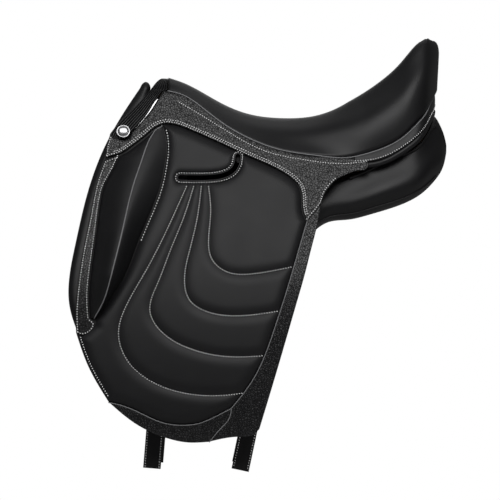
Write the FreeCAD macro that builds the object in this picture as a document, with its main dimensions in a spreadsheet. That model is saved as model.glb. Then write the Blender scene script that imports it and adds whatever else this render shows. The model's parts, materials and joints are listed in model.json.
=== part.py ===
import FreeCAD, Part
import math
import os
import Sketcher
from FreeCAD import Placement, Rotation, Vector

# Monoflap dressage saddle, millimetres.  +X runs to the cantle, +Z up, and the
# right-hand side is +Y.  The origin is on the middle plane, above the horse's spine.
# Every side piece is modelled on the right and mirrored to the left.

SIZES = {
    # Spread of the outlines: their points are shares of these three lengths.
    "reach": 280.0,
    "rise": 250.0,
    "drop": 300.0,
    # Side form, on which skirts, flaps and straps lie: a slanted plane that
    # turns into a round sweep below the waist.
    "waist": 140.0,
    "slope": 25.0,
    "sweep": 710.0,
    "flare": 5.0,
    # Leathers and pads, by thickness; their smooth outlines are laid in flats.
    "flat_rise": 0.5,
    "lap_gap": 0.3,
    "skirt_leather": 3.4,
    "flap_leather": 4.0,
    "hanger_leather": 3.0,
    "binding_leather": 2.2,
    "flap_padding": 7.0,
    "front_panel_depth": 18.0,
    "seat_leather": 2.6,
    "facing_leather": 6.0,
    # Seat
    "seat_bulge": 9.0,
    "lay": 0.6,
    # Tree
    "tree_timber": 11.0,
    "tree_margin": 29.0,
    "rail_steel": 3.0,
    "rail_width": 16.0,
    "rail_inset": 6.0,
    "head_steel": 4.0,
    "head_width": 22.0,
    "webbing_thick": 1.5,
    "webbing_width": 62.0,
    "lining_leather": 1.5,
    "gullet_half": 36.0,
    # Flap
    "swing_gap": 3.2,
    "tongue": 14.0,
    "slot_width": 6.0,
    "slot_run": 55.0,
    "slot_bend": 24.0,
    "slot_rise": 6.0,
    # Girth straps
    "strap_width": 24.0,
    "strap_thick": 4.0,
    "strap_split": 80.0,
    "front_lean": 4.7,
    "rear_lean": 12.0,
    # Stirrup bar
    "bar_round": 9.0,
    "bar_length": 64.0,
    "bar_depth": 12.5,
    "bar_plate": 3.0,
    "bar_back": 12.0,
    "pin_play": 0.08,
    "plate_length": 92.0,
    "plate_height": 26.0,
    "catch_length": 22.0,
    "pin_round": 3.0,
    "rivet_round": 6.0,
    "rod_root": 1.0,
    "plate_lift": 2.0,
    # Stud
    "stud_round": 21.0,
    "stud_dome": 3.6,
    "stud_rim": 1.0,
    "stud_margin": 1.2,
    "facing_sink": 1.2,
}

doc = FreeCAD.newDocument("english_saddle")
sheet = doc.addObject("Spreadsheet::Sheet", "Sizes")
for row, (alias, number) in enumerate(SIZES.items(), start=1):
    sheet.set(f"A{row}", alias)
    sheet.set(f"B{row}", str(number))
    sheet.setAlias(f"B{row}", alias)
doc.recompute()


def size(alias):
    return float(sheet.get(alias))


def total(terms):
    """Sum of the sizes named; a leading minus takes one away."""
    amount = 0.0
    for term in terms:
        amount += -size(term[1:]) if term.startswith("-") else size(term)
    return amount


def formula(first, terms):
    """The same sum as an expression on the sheet, after a first size."""
    text = f"Sizes.{first}"
    for term in terms:
        text += f" - Sizes.{term[1:]}" if term.startswith("-") else f" + Sizes.{term}"
    return text


SLOPE = math.radians(size("slope"))
FLARE = math.radians(size("flare"))
NODES = {}
HEAD_TURNS = 12
RIVET_SIDES = 12
STUD_SIDES = 24


def at(x_share, z_share):
    """A point of a side outline, from shares of the reach and of the rise or drop."""
    height = size("rise") if z_share > 0 else size("drop")
    return (x_share * size("reach"), z_share * height)


def curve(*shares):
    return [at(x, z) for x, z in shares]


def regular(count, radius):
    """Corners of a regular polygon around the origin."""
    turns = [2 * math.pi * index / count for index in range(count)]
    return [(radius * math.cos(turn), radius * math.sin(turn)) for turn in turns]


def form_half(z, depth=0.0):
    """Half width of the side form before its flare, `depth` outside the form."""
    radius = size("sweep") + depth
    centre_z = -size("sweep") * math.sin(SLOPE)
    centre_v = size("waist") - size("sweep") * math.cos(SLOPE)
    if z > centre_z + radius * math.sin(SLOPE):
        return size("waist") + depth / math.cos(SLOPE) - z * math.tan(SLOPE)
    return centre_v + math.sqrt(radius * radius - (z - centre_z) ** 2)


def form_y(x, z, depth=0.0):
    """Distance from the middle plane to the side form at x, z."""
    return form_half(z, depth) / math.cos(FLARE) + x * math.tan(FLARE)


def between(first, last, share):
    return (first[0] + (last[0] - first[0]) * share, first[1] + (last[1] - first[1]) * share)


# --- Outlines on the side, front to rear or top to bottom --------------------

def offset_runs(distance, *runs):
    """Consecutive runs moved to their left by a distance, with mitred corners."""
    points = list(runs[0])
    for run in runs[1:]:
        points += run[1:]
    normals = []
    for (x, z), (next_x, next_z) in zip(points, points[1:]):
        normals.append(Vector(z - next_z, next_x - x, 0).normalize())
    moved = []
    for index, (x, z) in enumerate(points):
        before = normals[max(index - 1, 0)]
        after = normals[min(index, len(normals) - 1)]
        reach = distance / max(1 + before.dot(after), 0.6)
        moved.append((x + (before.x + after.x) * reach, z + (before.y + after.y) * reach))
    pieces = []
    start = 0
    for run in runs:
        pieces.append(moved[start:start + len(run)])
        start += len(run) - 1
    return pieces


SEAT_EDGE = curve((-0.572, 0.727), (-0.488, 0.709), (-0.377, 0.632), (-0.264, 0.535),
                  (-0.152, 0.463), (0, 0.398), (0.186, 0.364), (0.343, 0.354))
SKIRT_END = curve((0.343, 0.354), (0.42, 0.333), (0.437, 0.326))
SKIRT_REAR = curve((0.437, 0.326), (0.428, 0.294), (0.374, 0.279), (0.324, 0.259),
                   (0.281, 0.235), (0.25, 0.203), (0.218, 0.151), (0.203, 0.104))
SKIRT_TIP = curve((0.203, 0.104), (0.175, 0.06), (0.134, 0.004))
SKIRT_DROP = curve((0.134, 0.004), (0.112, 0.06), (0.108, 0.13), (0.098, 0.186),
                   (0.049, 0.248), (-0.034, 0.303), (-0.163, 0.367), (-0.294, 0.44),
                   (-0.457, 0.522), (-0.563, 0.57))
SKIRT_LIFT = curve((-0.563, 0.57), (-0.592, 0.545), (-0.66, 0.482), (-0.726, 0.424),
                   (-0.778, 0.384), (-0.856, 0.358))
SKIRT_NOSE = curve((-0.856, 0.358), (-0.852, 0.42), (-0.838, 0.475))
SKIRT_FRONT = curve((-0.727, 0.495), (-0.647, 0.597), (-0.577, 0.72))
FLAP_TIP, FLAP_TOP, FLAP_NOSE = offset_runs(size("swing_gap"), SKIRT_TIP, SKIRT_DROP,
                                            SKIRT_LIFT)
TONGUE_LOW = offset_runs(size("tongue"), SKIRT_DROP, SKIRT_LIFT)
FLAP_REAR = FLAP_TIP[:1] + curve((0.145, -0.139), (0.083, -0.356), (-0.007, -0.648),
                                 (-0.101, -0.939))
FLAP_HEEL = curve((-0.101, -0.939), (-0.125, -0.961), (-0.21, -0.975), (-0.347, -0.998))
FLAP_LOW = curve((-0.347, -0.998), (-0.45, -1.001), (-0.563, -0.978), (-0.706, -0.915),
                 (-0.835, -0.818))
FLAP_TOE = curve((-0.835, -0.818), (-0.938, -0.65), (-0.994, -0.506))
FLAP_FRONT = curve((-0.994, -0.506), (-0.998, -0.42), (-0.99, -0.31), (-0.968, -0.155),
                   (-0.93, 0.038), (-0.896, 0.23)) + FLAP_NOSE[-1:]
STRIP_HEAD = [FLAP_NOSE[-1], FLAP_NOSE[-2]]
STRIP_INNER = FLAP_NOSE[-2:-1] + curve((-0.827, 0.279), (-0.858, 0.216), (-0.891, 0.052),
                                       (-0.917, -0.155), (-0.936, -0.36), (-0.93, -0.44))
STRIP_FOOT = curve((-0.93, -0.44), (-0.955, -0.5), (-0.994, -0.506))
BAND_INNER = FLAP_TIP[-1:] + curve((0.097, -0.1), (0.031, -0.308), (-0.026, -0.473),
                                   (-0.132, -0.711), (-0.182, -0.779), (-0.24, -0.845))
BAND_SEAM = curve((-0.24, -0.845), (-0.251, -0.892), (-0.282, -0.927), (-0.347, -0.998))
HEM_INNER = curve((-0.24, -0.845), (-0.319, -0.883), (-0.394, -0.912), (-0.475, -0.921),
                  (-0.569, -0.91), (-0.693, -0.86), (-0.77, -0.832), (-0.835, -0.818))
KNEE_REAR = FLAP_TOP[-1:] + curve((-0.558, 0.468), (-0.556, 0.394), (-0.566, 0.298),
                                  (-0.583, 0.203), (-0.631, 0.052), (-0.686, -0.08),
                                  (-0.759, -0.254), (-0.811, -0.333), (-0.896, -0.447))
PANEL_FRONT = curve((-0.664, 0.773), (-0.684, 0.764), (-0.754, 0.638), (-0.861, 0.424),
                    (-0.951, 0.141), (-1.002, -0.095), (-1.034, -0.279), (-1.033, -0.36),
                    (-1.01, -0.452), (-0.985, -0.512))
PANEL_LOW = curve((-0.985, -0.512), (-0.93, -0.5), (-0.82, -0.36), (-0.7, -0.24),
                  (-0.43, -0.15))
PANEL_BACK = curve((-0.43, -0.15), (-0.43, 0.13), (-0.52, 0.16), (-0.66, 0.18),
                   (-0.7, 0.4), (-0.656, 0.66), (-0.635, 0.756))
POINT_FRONT = curve((-0.6, 0.478), (-0.64, 0.3), (-0.625, 0.2))
POINT_REAR = curve((-0.5, 0.2), (-0.4, 0.3), (-0.52, 0.478))
FACING_FRONT = curve((-0.553, 0.83), (-0.6, 0.789), (-0.635, 0.745), (-0.724, 0.63),
                     (-0.81, 0.531))
FACING_REAR = curve((-0.733, 0.498), (-0.65, 0.605), (-0.581, 0.728), (-0.553, 0.733))
POMMEL_TOP = at(-0.553, 0.798)
STUD_PLACE = at(-0.771, 0.499)
FRONT_FOOT = at(-0.626, -1.123)
REAR_FOOT = at(-0.195, -1.13)
BAR_PLACE = at(-0.34, 0.352)
SLOT_START = at(-0.489, 0.244)

# --- Seat stations: place, lower edge, deck of the tree, top, dish, taper ----

SEAT_STATIONS = (
    (-0.550, 0.725, 0.700, 0.790, 0.00, 1.00),
    (-0.480, 0.705, 0.665, 0.764, 0.00, 1.00),
    (-0.377, 0.632, 0.622, 0.706, 0.00, 1.00),
    (-0.264, 0.535, 0.540, 0.637, 0.00, 1.00),
    (-0.152, 0.463, 0.468, 0.591, 0.00, 1.00),
    (0.000, 0.398, 0.410, 0.569, 0.00, 1.00),
    (0.186, 0.364, 0.395, 0.587, 0.01, 1.00),
    (0.343, 0.354, 0.420, 0.657, 0.03, 1.00),
    (0.468, 0.392, 0.500, 0.744, 0.06, 1.00),
    (0.593, 0.461, 0.620, 0.864, 0.10, 1.00),
    (0.660, 0.532, 0.700, 0.952, 0.12, 0.97),
    (0.700, 0.580, 0.760, 0.990, 0.10, 0.90),
    (0.735, 0.640, 0.830, 1.003, 0.04, 0.74),
    (0.765, 0.700, 0.860, 0.985, 0.02, 0.42),
    (0.779, 0.735, 0.870, 0.930, 0.00, 0.18),
)
DECK = [at(x, deck) for x, edge, deck, top, dish, taper in SEAT_STATIONS[:-3]]
WEB = [point for point in DECK if -0.3 < point[0] / size("reach") < 0.6]

# --- Cantle band stations: place, upper edge, lower edge, taper ---------------

BAND_STATIONS = (
    (0.365, 0.3560, 0.3500, 1.00),
    (0.430, 0.3760, 0.3400, 1.00),
    (0.468, 0.3890, 0.3450, 1.00),
    (0.593, 0.4580, 0.4090, 1.00),
    (0.660, 0.5290, 0.4670, 0.97),
    (0.700, 0.5770, 0.5120, 0.90),
    (0.735, 0.6370, 0.5660, 0.74),
    (0.765, 0.6970, 0.6230, 0.42),
    (0.779, 0.7320, 0.6600, 0.18),
)

# --- Panel stations: place, upper and lower outer edge, each with its distance
#     inside the side form, inner lower and upper edge, gullet share, belly ----

PANEL_STATIONS = (
    (-0.410, 0.400, 35.0, -0.050, 38.0, 0.400, 0.530, 0.75, 16.0),
    (-0.250, 0.380, 35.0, -0.120, 29.0, 0.300, 0.440, 0.90, 18.0),
    (-0.050, 0.325, 20.0, -0.140, 16.0, 0.180, 0.320, 1.00, 20.0),
    (0.120, 0.310, 16.0, -0.080, 20.0, 0.160, 0.300, 1.00, 18.0),
    (0.250, 0.295, 12.0, 0.012, 34.0, 0.160, 0.300, 1.00, 10.0),
    (0.343, 0.310, 11.0, 0.020, 36.0, 0.170, 0.330, 1.00, 8.0),
    (0.450, 0.318, 6.0, 0.047, 30.0, 0.190, 0.400, 1.00, 8.0),
    (0.593, 0.392, 6.5, 0.095, 34.0, 0.220, 0.500, 1.00, 6.0),
    (0.700, 0.494, 14.5, 0.160, 44.0, 0.260, 0.545, 1.00, 4.0),
    (0.765, 0.590, 38.0, 0.235, 70.0, 0.310, 0.600, 1.00, 2.0),
    (0.812, 0.470, 59.0, 0.340, 73.0, 0.370, 0.440, 1.05, 0.5),
)

# --- Knee block stations: height, ridge, stand ------------------------------

KNEE_STATIONS = (
    (0.530, -0.596, 4.0),
    (0.470, -0.630, 9.0),
    (0.400, -0.660, 15.0),
    (0.300, -0.692, 21.0),
    (0.100, -0.740, 28.0),
    (-0.100, -0.785, 31.0),
    (-0.220, -0.818, 30.5),
    (-0.300, -0.845, 28.0),
    (-0.370, -0.868, 21.0),
    (-0.415, -0.888, 12.0),
    (-0.436, -0.903, 4.0),
)


# --- Helpers for bodies and sketches -----------------------------------------

def origin_plane(body, role):
    return [part for part in body.Origin.OriginFeatures if part.Role == role][0]


def new_body(label):
    body = doc.addObject("PartDesign::Body", label)
    body.Label = label
    NODES[label] = body
    return body


def new_sketch(body, role, move=None):
    sketch = body.newObject("Sketcher::SketchObject", body.Label + "_sketch")
    sketch.AttachmentSupport = [(origin_plane(body, role), "")]
    sketch.MapMode = "FlatFace"
    if move is not None:
        sketch.AttachmentOffset = move
    return sketch


def flats(spline, first, last):
    """Corners of flats along a curve, after `first`, as close as its bend needs."""
    start, end = spline.value(first), spline.value(last)
    middle = (first + last) / 2
    if spline.value(middle).distanceToLine(start, end - start) < size("flat_rise"):
        return [end]
    return flats(spline, first, middle) + flats(spline, middle, last)


def add_run(sketch, points):
    """A line through two points, or flats along one smooth curve through more."""
    places = [Vector(first, second, 0) for first, second in points]
    corners = places
    if len(places) > 2:
        spline = Part.BSplineCurve()
        spline.interpolate(places)
        knots = spline.getKnots()
        corners = places[:1]
        for first, last in zip(knots, knots[1:]):
            corners += flats(spline, first, last)
    for first, last in zip(corners, corners[1:]):
        sketch.addGeometry(Part.LineSegment(first, last), False)


def bowed(points):
    """Corners of flats along a smooth curve, two of them from point to point."""
    places = [Vector(first, second, 0) for first, second in points]
    knots = list(range(len(places)))
    spline = Part.BSplineCurve()
    spline.interpolate(Points=places, Parameters=knots)
    corners = [spline.value(index / 2) for index in range(2 * knots[-1] + 1)]
    return [(corner.x, corner.y) for corner in corners]


def add_loop(sketch, *runs):
    """A closed outline of runs; a straight edge joins runs whose ends differ."""
    for index, run in enumerate(runs):
        add_run(sketch, run)
        start = runs[(index + 1) % len(runs)][0]
        if math.dist(run[-1], start) > 1e-6:
            add_run(sketch, [run[-1], start])


def add_circle(sketch, centre, radius):
    middle = Vector(centre[0], centre[1], 0)
    sketch.addGeometry(Part.Circle(middle, Vector(0, 0, 1), radius), False)


def sides(points):
    """The straight runs of a closed polygon."""
    return list(zip(points, points[1:] + points[:1]))


def add_polygon(sketch, *points):
    for side in sides(list(points)):
        add_run(sketch, side)


def pad(body, sketch, length, symmetric=False):
    """Pad a sketch by the expression given."""
    feature = body.newObject("PartDesign::Pad", body.Label + "_pad")
    feature.Profile = sketch
    if symmetric:
        feature.SideType = "Symmetric"
    feature.setExpression("Length", length)
    sketch.Visibility = False
    doc.recompute()
    return feature


def pocket(body, sketch):
    """Cut a sketch through the whole body, to both sides, and make sure it cuts."""
    before = body.Shape.Volume
    feature = body.newObject("PartDesign::Pocket", body.Label + "_pocket")
    feature.Profile = sketch
    feature.SideType = "Symmetric"
    feature.Type = "ThroughAll"
    doc.recompute()
    if feature.Shape.isNull() or feature.Shape.Volume >= before:
        raise RuntimeError(f"pocket cuts nothing on {body.Label}")
    return feature


def trim_to(body, *runs):
    """Keep only what lies inside a side outline."""
    sketch = new_sketch(body, "XZ_Plane")
    wide = 2.5 * size("reach")
    tall = 2.0 * size("drop")
    add_polygon(sketch, (-wide, -tall), (wide, -tall), (wide, tall), (-wide, tall))
    add_loop(sketch, *runs)
    return pocket(body, sketch)


def cushion(rings):
    """A closed form of flat triangles from ring to ring, with flat ends."""
    faces = [Part.Face(Part.makePolygon(ring + ring[:1])) for ring in (rings[0], rings[-1])]
    for ring, following in zip(rings, rings[1:]):
        for (near, far), (near_next, far_next) in zip(sides(ring), sides(following)):
            split = [near, far, far_next, near_next]
            if near.distanceToPoint(far_next) > far.distanceToPoint(near_next):
                split = [far, far_next, near_next, near]
            for half in (split[:3], [split[0], split[2], split[3]]):
                faces.append(Part.Face(Part.makePolygon(half + half[:1])))
    shell = Part.makeShell(faces)
    shell.sewShape()
    solid = Part.makeSolid(shell)
    if solid.Volume < 0:
        solid.reverse()
    return solid


def add_cushion(label, shape):
    thing = doc.addObject("Part::Feature", label)
    thing.Label = label
    thing.Shape = shape
    NODES[label] = thing
    return thing


def ring_across(x, corners):
    """A ring at one place along the saddle, from its (y, z) corners."""
    return [Vector(x, y, z) for y, z in corners]


def mirror_left(right_label):
    """The left-hand twin of a right-hand node."""
    label = right_label.replace("_right", "_left")
    twin = doc.addObject("Part::Mirroring", label)
    twin.Label = label
    twin.Source = NODES[right_label]
    twin.Normal = Vector(0, 1, 0)
    NODES[label] = twin
    return twin


FLARE_TURN = Placement(Vector(0, 0, 0), Rotation(Vector(0, 1, 0), size("flare")))


def add_form_band(sketch, inner, outer):
    """The side form's section between two depths, bound to the sheet."""
    top, low = 1.2 * size("rise"), -1.3 * size("drop")
    centre_z = -size("sweep") * math.sin(SLOPE)
    centre_v = size("waist") - size("sweep") * math.cos(SLOPE)
    centre = Vector(centre_v, centre_z, 0)
    arcs = []
    for terms in (outer, inner):
        depth = total(terms)
        radius = size("sweep") + depth
        join = centre + Vector(radius * math.cos(SLOPE), radius * math.sin(SLOPE), 0)
        foot = math.asin((low - centre_z) / radius)
        circle = Part.Circle(centre, Vector(0, 0, 1), radius)
        head = Vector(form_half(top, depth), top, 0)
        line = sketch.addGeometry(Part.LineSegment(head, join), False)
        arc = sketch.addGeometry(Part.ArcOfCircle(circle, foot, SLOPE), False)
        rule = sketch.addConstraint(Sketcher.Constraint("Radius", arc, radius))
        sketch.setExpression(f"Constraints[{rule}]", formula("sweep", terms))
        sketch.addConstraint(Sketcher.Constraint("Tangent", line, 2, arc, 2))
        arcs.append((line, arc))
    (outer_line, outer_arc), (inner_line, inner_arc) = arcs
    add = sketch.addConstraint
    add(Sketcher.Constraint("Coincident", outer_arc, 3, inner_arc, 3))
    across = add(Sketcher.Constraint("DistanceX", outer_arc, 3, centre_v))
    down = add(Sketcher.Constraint("DistanceY", outer_arc, 3, centre_z))
    sketch.setExpression(f"Constraints[{across}]",
                         "Sizes.waist - Sizes.sweep * cos(Sizes.slope * 1 deg)")
    sketch.setExpression(f"Constraints[{down}]",
                         "-Sizes.sweep * sin(Sizes.slope * 1 deg)")
    for start, first, second in ((1, outer_line, inner_line), (1, outer_arc, inner_arc)):
        one = sketch.getPoint(first, start)
        two = sketch.getPoint(second, start)
        edge = sketch.addGeometry(Part.LineSegment(one, two), False)
        add(Sketcher.Constraint("Coincident", edge, 1, first, start))
        add(Sketcher.Constraint("Coincident", edge, 2, second, start))


def side_layer(label, inner, outer, *runs):
    """A leather or pad on the right side form, between two depths and in an outline."""
    body = new_body(label)
    sketch = new_sketch(body, "YZ_Plane", FLARE_TURN)
    add_form_band(sketch, inner, outer)
    pad(body, sketch, "4 * Sizes.reach", symmetric=True)
    trim_to(body, *runs)
    return body


UNDER_FLAP = ("-flap_leather",)
HANGER_OUT = UNDER_FLAP + ("-lap_gap",)
HANGER_IN = HANGER_OUT + ("-hanger_leather",)
STRAP_OUT = HANGER_IN + ("-lap_gap",)
STRAP_IN = STRAP_OUT + ("-strap_thick",)
PANEL_OUT = STRAP_IN + ("-lap_gap",)
PANEL_IN = PANEL_OUT + ("-front_panel_depth",)
POINT_OUT = ("-bar_depth", "-bar_back", "-bar_plate", "-lap_gap")
POINT_IN = POINT_OUT + ("-head_steel",)
ON_FORM = ("lap_gap",)


# --- Seat --------------------------------------------------------------------

def seat_half(x, z, taper):
    return form_y(x, z) * taper


def seat_section(station, inset):
    """Section of the seat as points from the right edge over the top to the left."""
    x_share, edge, deck, top, dish, taper = station
    x, edge_z = at(x_share, edge)
    top_z = at(x_share, top)[1]
    height = top_z - edge_z
    half = seat_half(x, edge_z, taper) - inset
    swell = size("seat_bulge") * min(1.0, height / (0.2 * size("rise")))
    crown = 0.1 * height if dish == 0 else 0.0
    right = [(half, edge_z), (half + swell, edge_z + 0.42 * height),
             (0.74 * half, top_z - inset - crown)]
    middle = [(0.0, top_z - inset - dish * size("rise"))]
    left = [(-y, z) for y, z in reversed(right)]
    return right + middle + left


def seat_form(inset, clear=0.0, sink=0.0):
    """The seat's form moved in by an inset and a clearance, its lower edges sunk."""
    rings = []
    for station in SEAT_STATIONS:
        x = station[0] * size("reach")
        place = x - (inset if x > 0 else 0.0) * x / size("reach")
        corners = bowed(seat_section(station, inset + clear))
        if sink:
            corners += [(y, z - sink) for y, z in (corners[-1], corners[0])]
        rings.append(ring_across(place, corners))
    return cushion(rings)


def below_deck():
    """The space under the seat foam: a prism along the deck, a webbing's lift above it."""
    lift = size("webbing_thick") + 2 * size("lay")
    line = [at(x, deck) for x, edge, deck, top, dish, taper in SEAT_STATIONS]
    (first_x, first_z), (last_x, last_z) = line[0], line[-1]
    over = size("tree_margin")
    side = [(first_x - over, 0.0), (first_x - over, first_z)] + line
    side += [(last_x + over, last_z), (last_x + over, 0.0)]
    corners = [Vector(x, -size("waist"), z + lift) for x, z in side]
    face = Part.Face(Part.makePolygon(corners + corners[:1]))
    return face.extrude(Vector(0, 2 * size("waist"), 0))


def make_seat_cover():
    leather = size("seat_leather")
    inner = seat_form(leather, sink=2 * leather)
    add_cushion("seat_cover", seat_form(0.0).cut(inner))


def make_seat_foam():
    whole = seat_form(size("seat_leather"), clear=size("lay"))
    add_cushion("seat_foam", whole.cut(below_deck()))


def band_form(inset):
    """The band's outer or, with an inset, its taller inner form."""
    rings = []
    over = 3 * inset
    for x_share, upper, lower, taper in BAND_STATIONS:
        x, upper_z = at(x_share, upper)
        lower_z = at(x_share, lower)[1]
        high, low = upper_z + over, lower_z - over
        stand = size("lap_gap") + size("skirt_leather") - inset
        head = seat_half(x, high, taper) + stand
        foot = seat_half(x, low, taper) + stand
        place = x - inset * x / size("reach")
        corners = [(head, high), (foot, low), (-foot, low), (-head, high)]
        rings.append(ring_across(place, corners))
    return cushion(rings)


def make_cantle_band():
    """Smooth band below the cantle, from the end of one skirt round to the other."""
    add_cushion("cantle_band", band_form(0.0).cut(band_form(size("skirt_leather"))))


# --- Tree --------------------------------------------------------------------

def deck_band(*depths):
    """Side outline that follows the tree's deck between two distances below it."""
    upper = offset_runs(-depths[0], DECK)[0]
    lower = offset_runs(-depths[1], DECK)[0]
    return sides(upper + lower[::-1])


def tree_half(point, inside=0.0):
    return form_y(point[0], point[1]) - size("tree_margin") - inside


def plan_body(label, *polygons):
    """A body cut from a plan outline, tall enough for a side outline to trim."""
    body = new_body(label)
    sketch = new_sketch(body, "XY_Plane")
    for corners in polygons:
        add_polygon(sketch, *corners)
    pad(body, sketch, "2 * Sizes.rise")
    return body


def make_tree_frame():
    """Laminated wooden frame: a ring that follows the seat, open under the rider."""
    right = [(x, tree_half((x, z))) for x, z in DECK]
    left = [(x, -y) for x, y in reversed(right)]
    rim = size("rail_width") + 4 * size("rail_steel")
    opening = [(x, tree_half((x, z), rim)) for x, z in WEB[1:-1]]
    nose = (WEB[0][0], 0.0)
    tail = (WEB[-1][0] - rim / 2, 0.0)
    inner_right = [nose] + opening + [tail]
    inner_left = [(x, -y) for x, y in reversed(opening)]
    body = plan_body("tree_frame", right + left, inner_right + inner_left)
    trim_to(body, *deck_band(0.0, size("tree_timber")))


def rail_depths():
    top = size("tree_timber") + size("lap_gap")
    return top, top + size("rail_steel")


def make_spring_rail():
    stations = DECK[2:-2]
    near = [(x, tree_half((x, z), size("rail_inset"))) for x, z in stations]
    far = [(x, y - size("rail_width")) for x, y in reversed(near)]
    body = plan_body("spring_rail_right", near + far)
    trim_to(body, *deck_band(*rail_depths()))


def make_webbing():
    half = size("webbing_width") / 2
    front, rear = WEB[0][0], WEB[-1][0]
    corners = [(front, half), (rear, half), (rear, -half), (front, -half)]
    body = plan_body("seat_webbing", corners)
    top = size("lap_gap") + size("webbing_thick")
    trim_to(body, *deck_band(-top, -size("lap_gap")))


def make_gullet_lining():
    half = size("gullet_half") - 2 * size("lay")
    front, middle, rear = DECK[2][0], WEB[2][0], WEB[-1][0]
    narrow = 0.75 * half
    right = [(front, narrow), (middle, half), (rear, half)]
    left = [(x, -y) for x, y in reversed(right)]
    body = plan_body("gullet_lining", right + left)
    top = rail_depths()[1] + size("lap_gap")
    trim_to(body, *deck_band(top, top + size("lining_leather")))


def head_arch():
    """Centre height and outer radius of the head plate, between its points and the deck."""
    front = POINT_FRONT[0][0]
    below = offset_runs(-size("tree_timber"), DECK)[0]
    top = height_on(below, front + size("head_width"))
    radius = size("gullet_half")
    for turn in range(HEAD_TURNS):
        centre = top - radius
        radius = form_y(front, centre, total(POINT_OUT)) + 2 * size("lap_gap")
    return top - radius, radius


def make_head_plate():
    """Steel arch under the pommel that joins the two points of the tree."""
    body = new_body("head_plate")
    front = POINT_FRONT[0][0]
    sketch = new_sketch(body, "YZ_Plane", Placement(Vector(0, 0, front), Rotation()))
    height, outer = head_arch()
    centre = Vector(0, height, 0)
    inner = outer - size("head_steel")
    for radius in (outer, inner):
        circle = Part.Circle(centre, Vector(0, 0, 1), radius)
        sketch.addGeometry(Part.ArcOfCircle(circle, 0, math.pi), False)
    for side in (1, -1):
        add_run(sketch, [(side * inner, centre.y), (side * outer, centre.y)])
    pad(body, sketch, "Sizes.head_width")


def make_tree_point():
    top = head_arch()[0] - size("lap_gap")
    front = [(POINT_FRONT[0][0], top)] + POINT_FRONT[1:]
    rear = POINT_REAR[:-1] + [(POINT_REAR[-1][0], top)]
    side_layer("tree_point_right", POINT_IN, POINT_OUT, front, rear)


# --- Panels ------------------------------------------------------------------

def panel_section(station):
    """Corners of the cushion at one station; the outer corners are rounded off."""
    x_share, upper, upper_in, lower, lower_in, inner_low, inner_top, gullet, belly = station
    x = x_share * size("reach")
    upper_z, lower_z = at(x_share, upper)[1], at(x_share, lower)[1]
    wall = size("gullet_half") * gullet
    top_inner = (wall, at(x_share, inner_top)[1])
    top_outer = (form_y(x, upper_z) - upper_in, upper_z)
    low_outer = (form_y(x, lower_z) - lower_in, lower_z)
    low_inner = (wall, at(x_share, inner_low)[1])
    under = between(low_outer, low_inner, 0.45)
    under = (under[0] - 0.5 * belly, under[1] - 0.8 * belly)
    return [top_inner, between(top_outer, top_inner, 0.15), between(top_outer, low_outer, 0.12),
            between(low_outer, top_outer, 0.14), between(low_outer, under, 0.2), under,
            low_inner]


def make_panel():
    """Flocked cushion beside the gullet, with its deep gusset at the rear."""
    rings = []
    for station in PANEL_STATIONS:
        rings.append(ring_across(station[0] * size("reach"), panel_section(station)))
    add_cushion("panel_right", cushion(rings))


def make_panel_front():
    """Forward part of the panel, which shows as a dark band before the flap."""
    side_layer("panel_front_right", PANEL_IN, PANEL_OUT, PANEL_FRONT, PANEL_LOW, PANEL_BACK)


# --- Pommel facing and stud --------------------------------------------------

def facing_leg():
    """Foot point and slope of the facing's leg: half width, height, tangent."""
    foot_x, foot_z = at(-0.804, 0.488)
    head_x, head_z = at(-0.589, 0.712)
    foot_y = form_y(foot_x, foot_z) - size("facing_sink")
    head_y = form_y(head_x, head_z) - size("facing_sink")
    return foot_y, foot_z, (foot_y - head_y) / (head_z - foot_z)


def facing_arch(inset):
    """Radius, centre height and angle of the arch over the pommel."""
    foot_y, foot_z, tangent = facing_leg()
    angle = math.atan(tangent)
    top = POMMEL_TOP[1]
    share = (1 - math.sin(angle)) / math.cos(angle)
    join = (top - (foot_y + foot_z * tangent) * share) / (1 - tangent * share)
    radius = (foot_y - (join - foot_z) * tangent) / math.cos(angle)
    return radius - inset, join - radius * math.sin(angle), angle


def add_arch(sketch, inset, low):
    """One arch line: down one leg, over the top, down the other; its two feet."""
    radius, centre_z, angle = facing_arch(inset)
    centre = Vector(0, centre_z, 0)
    circle = Part.Circle(centre, Vector(0, 0, 1), radius)
    sketch.addGeometry(Part.ArcOfCircle(circle, angle, math.pi - angle), False)
    join_y = radius * math.cos(angle)
    join_z = centre_z + radius * math.sin(angle)
    foot_y = join_y + (join_z - low) * math.tan(angle)
    for side in (1, -1):
        add_run(sketch, [(side * join_y, join_z), (side * foot_y, low)])
    return foot_y


def stud_cup(radius):
    """Three points of the lower half of a ring around the stud."""
    x, z = STUD_PLACE
    return [(x - radius * 0.7, z - radius * 0.7), (x, z - radius),
            (x + radius * 0.75, z - radius * 0.66)]


def make_facing():
    """Ribbed facing that arches over the pommel, in front of the skirts."""
    front = 1.1 * FACING_FRONT[-1][0]
    body = new_body("pommel_facing")
    sketch = new_sketch(body, "YZ_Plane", Placement(Vector(0, 0, front), Rotation()))
    low = 0.3 * size("rise")
    outer = add_arch(sketch, 0.0, low)
    inner = add_arch(sketch, size("facing_leather"), low)
    for side in (1, -1):
        add_run(sketch, [(side * inner, low), (side * outer, low)])
    pad(body, sketch, "0.5 * Sizes.reach")
    around = size("stud_round") / 2 + size("stud_margin")
    x, z = STUD_PLACE
    cup = [(x - around, z + around * 0.3), *stud_cup(around), FACING_REAR[0]]
    trim_to(body, FACING_FRONT[:-1] + [cup[0]], cup, FACING_REAR)


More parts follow.
